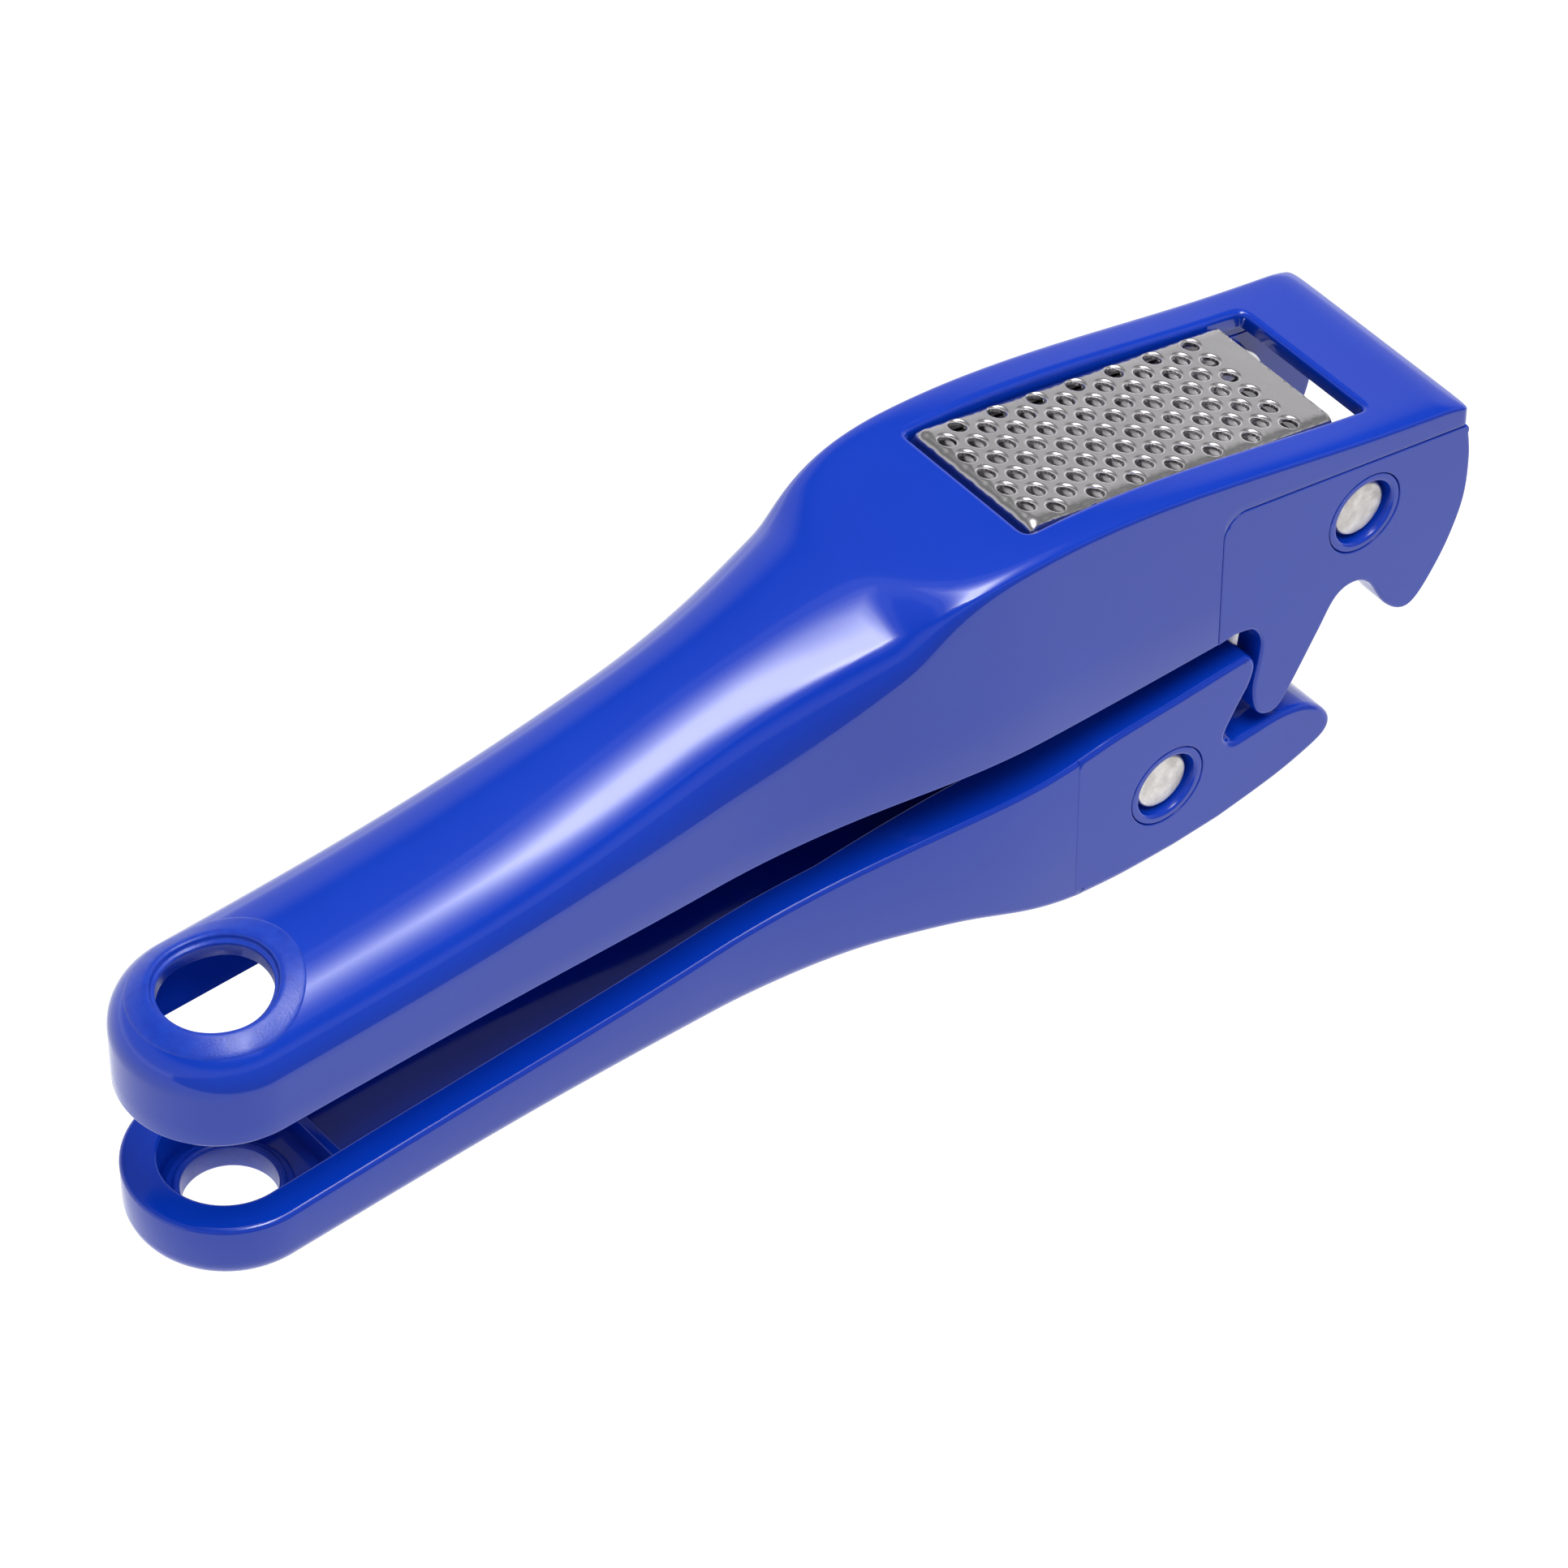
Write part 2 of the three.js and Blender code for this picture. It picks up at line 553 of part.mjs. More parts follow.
const plungerFace = () => plungerSlice(faceTop - faceThickness, faceTop, PLUNGER_HALF_WIDTH);

const RIVETS = [[-38, -1], [-22, -1]];        // on the plunger stem, in the sieve frame
const RIVET_RADIUS = 1.9;
const RIVET_SIDES = 16;
const rivetBores = () => RIVETS.map(
  ([x, z]) => rodAcross(RIVET_RADIUS + GAP, -REACH, REACH, x, z, RIVET_SIDES),
);

/** Plunger block: a wide head that fills the hopper and a stem between the link plates. */
function plungerBlock() {
  const stemTop = blockShoulder + 1;
  const stem = new THREE.Shape(asVectors([
    [STEM.rear, stemTop], [STEM.rear, STEM.low], [STEM.front, STEM.low], [STEM.front, stemTop],
  ]));
  const whole = join(
    plungerSlice(blockShoulder, blockTop, PLUNGER_HALF_WIDTH),
    sidePlate(stem, GAP - LINK_INNER, LINK_INNER - GAP),
  );
  return cut(whole, ...rivetBores());
}

/** The lower pin's place in the sieve frame. */
const lowerPivotOnSlope = new THREE.Vector2(LOWER_PIVOT.x, LOWER_PIVOT.z)
  .rotateAround(new THREE.Vector2(), SIEVE_SLOPE);

/** Steel link plate from pin to pin, with a wing riveted to the plunger's stem. */
function linkPlate(side) {
  const wingTop = blockShoulder - GAP;
  const { x, y: z } = lowerPivotOnSlope;
  const frontSide = Math.atan2(z, x) + Math.PI / 2;   // square to the line between the pins
  const shape = new THREE.Shape();
  shape.moveTo(STEM.rear - 1, STEM.low - 1);
  shape.lineTo(STEM.rear, wingTop);
  shape.lineTo(STEM.front + 1, wingTop);
  shape.absarc(0, 0, BOSS_RADIUS, degToRad(108), frontSide, true);
  shape.absarc(x, z, BOSS_RADIUS, frontSide, degToRad(-170), true);
  const [yFrom, yTo] = acrossSide(side, LINK_INNER, LINK_OUTER);
  return cut(
    sidePlate(shape, yFrom, yTo, 10),
    rodAcross(PIN_BORE_RADIUS, -REACH, REACH),
    rodAcross(PIN_BORE_RADIUS, -REACH, REACH, x, z),
    ...rivetBores(),
  );
}

/** Rivet through both link plates and the plunger's stem. */
function plungerRivet([x, z]) {
  const headRadius = 3.2;
  const headInner = LINK_OUTER + GAP;
  const headOuter = headInner + 0.6;
  return turnedAcross([
    [0, -headOuter], [headRadius, -headOuter], [headRadius, -headInner], [RIVET_RADIUS, -headInner],
    [RIVET_RADIUS, headInner], [headRadius, headInner], [headRadius, headOuter], [0, headOuter],
  ], x, z, RIVET_SIDES);
}

/** Spacer sleeve that holds the link plates apart on a pin. */
const spacerSleeve = (x, z) =>
  tubeAcross(PIN_BORE_RADIUS, BOSS_RADIUS, GAP - LINK_INNER, LINK_INNER - GAP, x, z);

// ---------------------------------------------------------------- assembly

/** Adds one named piece to a group. */
function addPiece(group, name, solid, look) {
  const mesh = new THREE.Mesh(toGeometry(solid), new THREE.MeshStandardMaterial(look));
  mesh.name = name;
  group.add(mesh);
}

const press = new THREE.Group();              // press frame
const slope = new THREE.Group();              // sieve frame, tipped down toward the front
slope.rotation.y = SIEVE_SLOPE;
press.add(slope);

addPiece(press, 'upper_handle_shell', upperHandleShell(), blueGloss);
addPiece(press, 'upper_hang_ring', upperHangRing(), blueSatin);
addPiece(press, 'lower_handle_shell', lowerHandleShell(), blueGloss);
addPiece(press, 'lower_hang_ring', lowerHangRing(), blueSatin);
addPiece(press, 'lower_gear_frame', lowerGearFrame(), blueGloss);
addPiece(press, 'upper_pin', pivotPin(0, 0), pinSteel);
addPiece(press, 'lower_pin', pivotPin(LOWER_PIVOT.x, LOWER_PIVOT.z), pinSteel);
addPiece(press, 'upper_spacer_sleeve', spacerSleeve(0, 0), steel);
addPiece(press, 'lower_spacer_sleeve', spacerSleeve(LOWER_PIVOT.x, LOWER_PIVOT.z), steel);
addPiece(slope, 'sieve_hopper', sieveHopper(), steel);
addPiece(slope, 'plunger_face', plungerFace(), steel);
addPiece(slope, 'plunger_block', plungerBlock(), nylon);
RIVETS.forEach((place, index) => {
  addPiece(slope, ['plunger_rivet_rear', 'plunger_rivet_front'][index], plungerRivet(place), steel);
});

for (const [name, side] of [['right', -1], ['left', 1]]) {
  addPiece(press, `upper_gear_cheek_${name}`, upperGearCheek(side), blueGloss);
  addPiece(press, `upper_pin_bush_${name}`, pinBush(side, HEAD_CAVITY_HALF_WIDTH, 0, 0), blueGloss);
  addPiece(press, `lower_pin_bush_${name}`,
    pinBush(side, LOWER_CHEEK_INNER, LOWER_PIVOT.x, LOWER_PIVOT.z), blueGloss);
  addPiece(slope, `link_plate_${name}`, linkPlate(side), steel);
  addPiece(press, `arm_washer_${name}`,
    washer(side, LINK_OUTER + GAP, HOPPER_HALF_WIDTH - SHEET - GAP), paleNylon);
  addPiece(press, `hopper_washer_${name}`,
    washer(side, HOPPER_HALF_WIDTH + GAP, HEAD_CAVITY_HALF_WIDTH - GAP), paleNylon);
}

/** Stands the press on its belly and tail, with the origin at the middle of its footprint. */
function standOnGround(group) {
  group.rotation.y = -REST_TILT;
  group.updateMatrixWorld(true);
  const box = new THREE.Box3().setFromObject(group, true);
  const centre = box.getCenter(new THREE.Vector3());
  group.position.set(-centre.x, -centre.y, -box.min.z);
}

standOnGround(press);
const garlicPress = new THREE.Group();
garlicPress.add(press);

export default garlicPress;
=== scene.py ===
"""Looks of a geared-lever garlic press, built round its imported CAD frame.

The fine pieces are drawn in the press frame: millimetres, origin on the upper pin's axis, X toward
the head, Y across the press and Z up. to_world() puts them into the frame's metres by the two pins.
"""

import json
import math

import bmesh
import bpy
import numpy as np
from mathutils import Matrix, Vector
from mathutils.geometry import tessellate_polygon


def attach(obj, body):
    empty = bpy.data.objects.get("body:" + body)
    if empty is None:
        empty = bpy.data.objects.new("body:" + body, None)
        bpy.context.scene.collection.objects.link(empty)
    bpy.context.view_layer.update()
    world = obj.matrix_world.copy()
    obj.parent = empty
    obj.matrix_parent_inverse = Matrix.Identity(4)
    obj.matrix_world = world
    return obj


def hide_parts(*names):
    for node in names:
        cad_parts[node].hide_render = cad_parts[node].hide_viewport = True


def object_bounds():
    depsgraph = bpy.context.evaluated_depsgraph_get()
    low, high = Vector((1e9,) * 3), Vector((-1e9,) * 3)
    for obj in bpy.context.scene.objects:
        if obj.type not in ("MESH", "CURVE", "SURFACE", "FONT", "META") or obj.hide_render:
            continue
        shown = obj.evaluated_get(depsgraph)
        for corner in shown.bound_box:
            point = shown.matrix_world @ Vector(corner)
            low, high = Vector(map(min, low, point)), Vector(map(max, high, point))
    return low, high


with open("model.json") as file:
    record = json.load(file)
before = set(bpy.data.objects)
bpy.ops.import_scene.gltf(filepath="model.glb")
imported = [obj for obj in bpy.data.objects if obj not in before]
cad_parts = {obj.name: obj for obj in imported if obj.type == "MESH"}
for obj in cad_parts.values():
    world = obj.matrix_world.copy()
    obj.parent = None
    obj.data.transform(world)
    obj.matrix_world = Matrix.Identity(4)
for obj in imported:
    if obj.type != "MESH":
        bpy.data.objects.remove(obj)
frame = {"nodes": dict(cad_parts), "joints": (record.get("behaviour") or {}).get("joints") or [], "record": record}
cad_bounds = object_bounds()

# ------------------------------------------------------------------ driving sizes, in mm

LOWER_PIVOT = (-31.8, -29.1)
SIEVE_SLOPE = math.radians(11.4)

HEAD_HALF_WIDTH = 17.2
GRIP_HALF_WIDTH = 13.1
TAIL_X = -167.0
HEAD_START_X = -52.0
SHOULDER_START_X = -102.0
FRONT_X = 17.6
FRONT_ROLL_LENGTH, FRONT_ROLL_DROP = 5.0, 1.7
FRONT_CORNER_RADIUS = 1.2

ROUND_POWER, FLAT_POWER = 2.25, 9.0
CROWN_FLATTENS_FROM, CROWN_FLATTENS_TO = -74.0, -58.0
SHELL_WALL = 2.2
TOP_WALL = 2.6
HEAD_CAVITY_HALF_WIDTH = 12.6
LOWER_CHANNEL_HALF_WIDTH = 8.5
LOWER_CHEEK_INNER = 9.7
LOWER_CORNER_GRIP, LOWER_CORNER_HEAD = 3.5, 1.5

SEAM = 0.13                       # visible line between pieces that touch in the real press
SEAM_BEVEL = 0.14                 # edge radius of a piece where it meets its neighbour at a seam
CHEEK_SEAM_X, CHEEK_SEAM_BEND_Z = -24.3, 9.0
CHEEK_SEAM_BEND, CHEEK_SEAM_FRONT_Z = 3.3, 5.4
LOWER_SEAM_X = -47.0
LOWER_SEAM = 0.01                 # the lower seam is shut; its line is the bevel of the head's edge
CHEEK_BEVEL = 0.45
TOP_SEAM_REACH, REAR_SEAM_REACH, REAR_SEAM_FOOT_Z = 1.2, 0.4, -7.5
LOWER_HEAD_TOP_BEVEL, LOWER_HEAD_FRONT_BEVEL = 0.8, 0.9

WINDOW_LEFT, WINDOW_RIGHT, WINDOW_HALF = -52.5, 4.0, 12.0
WINDOW_CORNER = 1.2
WINDOW_FILLET = 0.9
WINDOW_MARGIN = 1.5               # the window is cut out of the crown's grid this far outside its edge

HANG_HOLE_RADIUS, HANG_RING_RADIUS = 7.15, 10.9
LOWER_HOLE_RADIUS, LOWER_RING_RADIUS = 6.0, 8.0

PIN_RADIUS, PIN_HALF_LENGTH = 4.0, 15.2
PIN_END_Y = 16.2                  # pin ends stand proud of the recess floors, below the cheek faces
PIN_EDGE, PIN_CROWN = 0.35, 0.05
PIN_CLEARANCE = 0.12
BUSH_RADIUS, BUSH_RECESS_RADIUS = 5.9, 4.7
BUSH_LIP, BUSH_EDGE = 0.45, 0.12
BUSH_RECESS_Y = PIN_HALF_LENGTH - 0.5
BUSH_SURROUND = BUSH_RADIUS + 0.5      # edges of a cheek nearer the pin than this are its bush seat

SIEVE_HEIGHT = 12.35
SIEVE_LEFT, SIEVE_RIGHT = -54.3, -3.7
SHEET, SHEET_BEVEL = 0.8, 0.15
HOPPER_HALF_WIDTH = 11.6
FOLD_RADIUS = 1.3
HOLE_PITCH = 3.8
HOLE_RADIUS = 1.12
DIMPLE_RADIUS = 1.58
DIMPLE_DEPTH = 0.5
HOLE_ROWS_START_X = -49.03
FIRST_ROW, LAST_ROW = -1, 12
HOLES_IN_LONG_ROW, HOLES_IN_SHORT_ROW = 6, 5
EAR_RADIUS = 7.4
EAR_FROM_ANGLE, EAR_TO_ANGLE = 250, 420
WALL_FOOT_ANGLE = 182             # where the hopper's back wall ends, a little below the pin's level
SKIRT = 3.0                       # how far the sheet runs down below its folds

RIB_FROM_HOLE = 12.0
RIB_HEIGHT, RIB_HALF_THICKNESS, RIB_EDGE = 3.8, 0.8, 0.4

UPPER_RIDGE = [
    (TAIL_X, 8.9), (-140, 9.8), (-124, 11.3), (-109, 13.9), (-95, 16.8), (-85, 18.8),
    (-76, 20.6), (-68, 21.9), (-60, 22.7), (HEAD_START_X, 22.8), (0, 13.0), (FRONT_X, 9.5),
]
UPPER_CREASE = [
    (TAIL_X, 1.4), (-140, 2.0), (-122, 3.0), (-107, 4.1), (-92, 6.5), (-78, 11.3),
    (-65, 17.0), (-57, 19.6), (-50, 20.0), (0, 10.6), (FRONT_X, 7.2),
]
UPPER_LOWER_EDGE = [
    (TAIL_X, -6.6), (-130, -6.7), (-105, -7.2), (-78, -7.4), (-64, -8.3), (-48, -8.9),
    (FRONT_X, -8.9),
]
LOWER_RIM = [
    (TAIL_X, -21.3), (-137, -19.9), (-107, -18.5), (-78, -16.2), (-60, -16.0), (-50, -16.0),
    (-40, -15.0), (-24, -14.4),
]
LOWER_BOTTOM = [
    (TAIL_X, -30.5), (-150, -30.0), (-130, -29.7), (-107, -30.2), (-93, -30.7), (-78, -31.6),
    (-71, -32.9), (-63, -35.0), (-56, -37.7), (-48, -40.3), (-39, -41.3), (-24, -40.9),
]
UPPER_TEETH = [
    (18.2, -0.4), (17.8, -7.0), (15.8, -12.8), (13.0, -17.6), (10.2, -20.8), (7.7, -21.1),
    (4.8, -18.5), (2.0, -13.6), (-0.8, -11.6), (-3.9, -12.3), (-6.8, -16.8), (-10.6, -23.0),
    (-13.0, -26.2), (-15.4, -26.3), (-17.0, -24.4), (-17.6, -20.5), (-16.9, -16.0),
    (-16.7, -12.6), (-18.3, -9.8), (-21.5, -8.9),
]
LOWER_TEETH = [
    (-20.6, -14.1), (-18.6, -14.3), (-17.4, -16.3), (-18.2, -19.4), (-20.6, -23.4), (-21.9, -26.2),
    (-20.6, -28.1), (-17.5, -28.1), (-12.5, -27.9), (-8.3, -28.9), (-5.2, -31.2), (-3.5, -34.0),
    (-4.6, -36.4), (-9.0, -38.2), (-14.3, -39.5), (-22.6, -40.8),
]
LOWER_HEAD_TOP = [(-40, -15.0), (-30, -14.6)]
LOWER_HEAD_UNDERSIDE = [(-30, -41.3), (-39, -41.3)]
LOWER_HEAD_FLOOR_END = -15.0
LOWER_TOP_ABOVE_Z, LOWER_CORNER_ENDS_X = -20.0, -20.0

# ------------------------------------------------------------------ placing

pins = {joint["name"]: Vector(joint["pos_m"]) for joint in frame["joints"]}
UPPER_PIN = pins["arm_swing"]
LOWER_PIN = pins["handle_swing"]


def rest_tilt():
    """How far the press frame is tipped in the row frame, from the line between the pins."""
    between = LOWER_PIN - UPPER_PIN
    return math.atan2(between.z, between.x) - math.atan2(LOWER_PIVOT[1], LOWER_PIVOT[0])


TILT = rest_tilt()


def to_world(point):
    """A point of the press frame, in mm, as a point of the row frame, in metres."""
    x, y, z = point
    turned = Vector((
        x * math.cos(TILT) - z * math.sin(TILT),
        y,
        x * math.sin(TILT) + z * math.cos(TILT),
    ))
    return UPPER_PIN + turned / 1000


def from_slope(point):
    """A point of the sieve's frame, tipped down toward the front, in the press frame."""
    x, y, z = point
    return (
        x * math.cos(SIEVE_SLOPE) + z * math.sin(SIEVE_SLOPE),
        y,
        z * math.cos(SIEVE_SLOPE) - x * math.sin(SIEVE_SLOPE),
    )


# ------------------------------------------------------------------ lines and profiles

def smooth_line(points):
    """A natural cubic spline through (x, z) points, read back as z at any x."""
    xs = np.array([x for x, _ in points], float)
    zs = np.array([z for _, z in points], float)
    steps = np.diff(xs)
    slopes = np.diff(zs) / steps
    system = np.eye(len(xs))
    bends = np.zeros(len(xs))
    for i in range(1, len(xs) - 1):
        system[i, i - 1:i + 2] = steps[i - 1], 2 * (steps[i - 1] + steps[i]), steps[i]
        bends[i] = 6 * (slopes[i] - slopes[i - 1])
    curvature = np.linalg.solve(system, bends)

    def height(x):
        x = min(max(x, xs[0]), xs[-1])
        i = min(int(np.searchsorted(xs, x, side="right")) - 1, len(steps) - 1)
        step = steps[i]
        before, after = x - xs[i], xs[i + 1] - x
        return float(
            (curvature[i] * after ** 3 + curvature[i + 1] * before ** 3) / (6 * step)
            + (zs[i] / step - curvature[i] * step / 6) * after
            + (zs[i + 1] / step - curvature[i + 1] * step / 6) * before
        )

    return height


def smoothstep(x, start, end):
    """Rises smoothly from 0 at start to 1 at end."""
    share = min(max((x - start) / (end - start), 0.0), 1.0)
    return share * share * (3 - 2 * share)


def mix(a, b, share):
    """A value the given share of the way from a to b."""
    return a + (b - a) * share


def spread(start, end, count):
    """count + 1 evenly spaced values from start to end."""
    return [mix(start, end, i / count) for i in range(count + 1)]


def quarter_round(inset, steps, depth=None):
    """(inset, depth) pairs round an edge, from the face it rounds to the side below."""
    depth = inset if depth is None else depth
    return [
        (inset * (1 - math.sin(a)), depth * (1 - math.cos(a))) for a in spread(0, math.pi / 2, steps)
    ]


def round_over(x, end, length, drop):
    """How far an elliptical round-over has fallen at x, over its length before an end."""
    share = min(max((x - end + length) / length, 0.0), 1.0)
    return drop * (1 - math.sqrt(1 - share ** 2))


def spline_through(points, steps=8):
    """A smooth open line through 2-D points."""
    line = []
    for i in range(len(points) - 1):
        before = points[max(i - 1, 0)]
        start, end = points[i], points[i + 1]
        after = points[min(i + 2, len(points) - 1)]
        for step in range(steps):
            t = step / steps
            line.append(tuple(
                0.5 * (2 * b + (c - a) * t + (2 * a - 5 * b + 4 * c - d) * t ** 2
                       + (3 * b - a - 3 * c + d) * t ** 3)
                for a, b, c, d in zip(before, start, end, after)
            ))
    return line + [tuple(points[-1])]


def arc(radius, x, z, start, end, count):
    """Points on an arc in the side view; angles in degrees."""
    return [
        (x + radius * math.cos(math.radians(a)), z + radius * math.sin(math.radians(a)))
        for a in spread(start, end, count)
    ]


def circle(radius, x=0.0, z=0.0, count=72):
    """Points on a circle in the side view."""
    return arc(radius, x, z, 0, 360, count)[:-1]


upper_ridge = smooth_line(UPPER_RIDGE)
upper_crease = smooth_line(UPPER_CREASE)
upper_lower_edge = smooth_line(UPPER_LOWER_EDGE)
lower_rim = smooth_line(LOWER_RIM)
lower_bottom = smooth_line(LOWER_BOTTOM)


def half_width(x):
    """Half the width of a handle at x, from the tail's centre to the head."""
    widening = smoothstep(x, SHOULDER_START_X, HEAD_START_X)
    corner = round_over(x, FRONT_X, FRONT_CORNER_RADIUS, FRONT_CORNER_RADIUS)
    return GRIP_HALF_WIDTH + (HEAD_HALF_WIDTH - GRIP_HALF_WIDTH) * widening - corner


def inner_half_width(x):
    """Half the width of the space inside the upper handle at x."""
    return min(half_width(x) - SHELL_WALL, HEAD_CAVITY_HALF_WIDTH)


def place_in_plan(angle, x, reach, side):
    """A place in plan: out from the tail's centre at an angle, or straight across at x if it is None."""
    if angle is None:
        return x, side * reach
    return TAIL_X - reach * math.cos(math.radians(angle)), side * reach * math.sin(math.radians(angle))


def crown_height(x, share, drop=0.0):
    """Height of the crown, or of a surface drop below it, at a share of its half width."""
    power = mix(ROUND_POWER, FLAT_POWER, smoothstep(x, CROWN_FLATTENS_FROM, CROWN_FLATTENS_TO))
    ridge = upper_ridge(x) - round_over(x, FRONT_X, FRONT_ROLL_LENGTH, FRONT_ROLL_DROP) - drop
    crease = min(upper_crease(x) - drop / 2, ridge - 1)
    return crease + (ridge - crease) * (1 - min(share, 1.0) ** power) ** (1 / power)


def crown_at(x, y):
    """Height of the upper handle's outside at any place in plan."""
    if x < TAIL_X:
        return crown_height(TAIL_X, math.hypot(TAIL_X - x, y) / GRIP_HALF_WIDTH)
    return crown_height(x, abs(y) / half_width(x))


# ------------------------------------------------------------------ making pieces

def make_mesh(name, surface, place=to_world):
    """A mesh from a surface, with shared corners merged and faces turned outward."""
    mesh = bpy.data.meshes.new(name)
    mesh.from_pydata([place(p) for p in surface.points], [], surface.faces)
    bm = bmesh.new()
    bm.from_mesh(mesh)
    bmesh.ops.remove_doubles(bm, verts=bm.verts, dist=2e-6)
    bmesh.ops.dissolve_degenerate(bm, edges=bm.edges, dist=1e-7)
    bmesh.ops.recalc_face_normals(bm, faces=bm.faces)
    bm.to_mesh(mesh)
    bm.free()
    return mesh


def finish_piece(name, surface, body, nodes, slot, angle=32, place=to_world):
    """Turns a surface into a shown piece that rides on a body and stands for CAD nodes."""
    mesh = make_mesh(name, surface, place)
    mesh.shade_smooth()
    mesh.set_sharp_from_angle(angle=math.radians(angle))
    piece = bpy.data.objects.new(name, mesh)
    bpy.context.scene.collection.objects.link(piece)
    piece.data.materials.append(LOOKS[slot])
    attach(piece, body)
    if nodes:
        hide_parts(*nodes)
    return piece


class Surface:
    """Points and faces gathered row by row."""

    def __init__(self):
        self.points = []
        self.faces = []

    def row(self, points):
        """Adds points and returns their indices."""
        start = len(self.points)
        self.points.extend(points)
        return list(range(start, start + len(points)))

    def strip(self, low, high, closed=False, skip=lambda i: False):
        """Quads between two rows of equal length."""
        count = len(low)
        for i in range(count if closed else count - 1):
            if not skip(i):
                j = (i + 1) % count
                self.faces.append((low[i], low[j], high[j], high[i]))

    def skin(self, rows, closed=False):
        """Strips of quads over rows of points; returns the rows' indices."""
        indices = [self.row(r) for r in rows]
        for low, high in zip(indices, indices[1:]):
            self.strip(low, high, closed)
        return indices


def outline_normals(outline):
    """Inward normals at each point of a closed outline that runs anticlockwise."""
    normals = []
    count = len(outline)
    for i in range(count):
        ahead = Vector(outline[(i + 1) % count]) - Vector(outline[i])
        behind = Vector(outline[i]) - Vector(outline[i - 1])
        along = ahead.normalized() + behind.normalized()
        inward = Vector((-along.y, along.x)).normalized()
        reach = max(inward.dot(Vector((-ahead.y, ahead.x)).normalized()), 0.5)
        normals.append(inward / reach)
    return normals


def anticlockwise(outline):
    """The outline, turned round if it runs clockwise."""
    area = sum(a[0] * b[1] - b[0] * a[1] for a, b in zip(outline, outline[1:] + outline[:1]))
    return outline if area > 0 else outline[::-1]


BEVEL_STEPS = 5
BEVEL_HOLD = 0.15                  # a ring this far in from a bevel keeps the face beside it flat


def plate(surface, outline, holes, y_low, y_high, bevel_of):
    """A plate with rounded edges. Outlines are side views; bevel_of(x, z) is the edge radius."""
    loops = [anticlockwise(outline)] + [anticlockwise(hole)[::-1] for hole in holes]
    caps = {y_low: [], y_high: []}
    for loop in loops:
        normals = outline_normals(loop)
        rows = []
        for y_face, inward in ((y_low, 1), (y_high, -1)):
            rounding = []
            for inset_share, depth_share in quarter_round(1, BEVEL_STEPS):
                row = []
                for (x, z), normal in zip(loop, normals):
                    inset = bevel_of(x, z) * inset_share
                    depth = bevel_of(x, z) * depth_share
                    row.append((x + normal.x * inset, y_face + inward * depth, z + normal.y * inset))
                rounding.append(row)
            holding = []
            for (x, z), normal in zip(loop, normals):
                inset = bevel_of(x, z) + BEVEL_HOLD
                holding.append((x + normal.x * inset, y_face, z + normal.y * inset))
            side_rows = [holding] + rounding
            rows += side_rows if inward > 0 else side_rows[::-1]
        indices = surface.skin(rows, closed=True)
        caps[y_low].append(indices[0])
        caps[y_high].append(indices[-1])
    for cap in caps.values():
        flat = [[Vector((surface.points[i][0], surface.points[i][2], 0)) for i in loop] for loop in cap]
        order = [i for loop in cap for i in loop]
        for triangle in tessellate_polygon(flat):
            surface.faces.append(tuple(order[i] for i in triangle))


def turned(surface, profile, x=0.0, z=0.0, count=72):
    """A turned piece about an axis across the press; the closed profile holds (radius, y)."""
    rows = []
    for i in range(count):
        angle = 2 * math.pi * i / count
        rows.append([
            (x + radius * math.cos(angle), y, z + radius * math.sin(angle)) for radius, y in profile
        ])
    rows.append(rows[0])
    surface.skin(rows, closed=True)


def turned_upright(surface, profile, x, height_of=lambda x, y: 0.0, count=96):
    """A turned piece about an upright axis; the closed profile holds (radius, height, follows).

    A point that follows has the ground height at its place in plan added to its own.
    """
    rows = []
    for i in range(count + 1):
        angle = 2 * math.pi * i / count
        row = []
        for radius, height, follows in profile:
            px, py = x + radius * math.cos(angle), radius * math.sin(angle)
            row.append((px, py, height + (height_of(px, py) if follows else 0.0)))
        rows.append(row)
    surface.skin(rows, closed=True)


def cut_upright(piece, x, radius):
    """Cuts a round upright hole through a piece."""
    tool = Surface()
    low, high = -80, 80
    profile = [(0, low, False), (radius, low, False), (radius, high, False), (0, high, False)]
    turned_upright(tool, profile, x)
    cutter = bpy.data.objects.new("cutter", make_mesh("cutter", tool))
    bpy.context.scene.collection.objects.link(cutter)
    boolean = piece.modifiers.new("hole", "BOOLEAN")
    boolean.operation = "DIFFERENCE"
    boolean.solver = "EXACT"
    boolean.object = cutter
    depsgraph = bpy.context.evaluated_depsgraph_get()
    cut_mesh = bpy.data.meshes.new_from_object(piece.evaluated_get(depsgraph))
    piece.modifiers.clear()
    piece.data = cut_mesh
    bpy.data.objects.remove(cutter)


# ------------------------------------------------------------------ materials

def new_material(name, color, metallic=0.0, roughness=0.3):
    """A plain material and its shader node."""
    material = bpy.data.materials.new(name)
    material.use_nodes = True
    material.diffuse_color = (*color, 1)
    shader = material.node_tree.nodes["Principled BSDF"]
    shader.inputs["Base Color"].default_value = (*color, 1)
    shader.inputs["Metallic"].default_value = metallic
    shader.inputs["Roughness"].default_value = roughness
    return material, shader


def noise(material, scale, detail=4.0, stretch=(1, 1, 1)):
    """A noise texture in the object's own metres; returns its factor output."""
    tree = material.node_tree
    place = tree.nodes.new("ShaderNodeTexCoord")
    mapping = tree.nodes.new("ShaderNodeMapping")
    mapping.inputs["Scale"].default_value = stretch
    texture = tree.nodes.new("ShaderNodeTexNoise")
    texture.inputs["Scale"].default_value = scale
    texture.inputs["Detail"].default_value = detail
    tree.links.new(place.outputs["Object"], mapping.inputs["Vector"])
    tree.links.new(mapping.outputs["Vector"], texture.inputs["Vector"])
    return texture.outputs["Fac"]


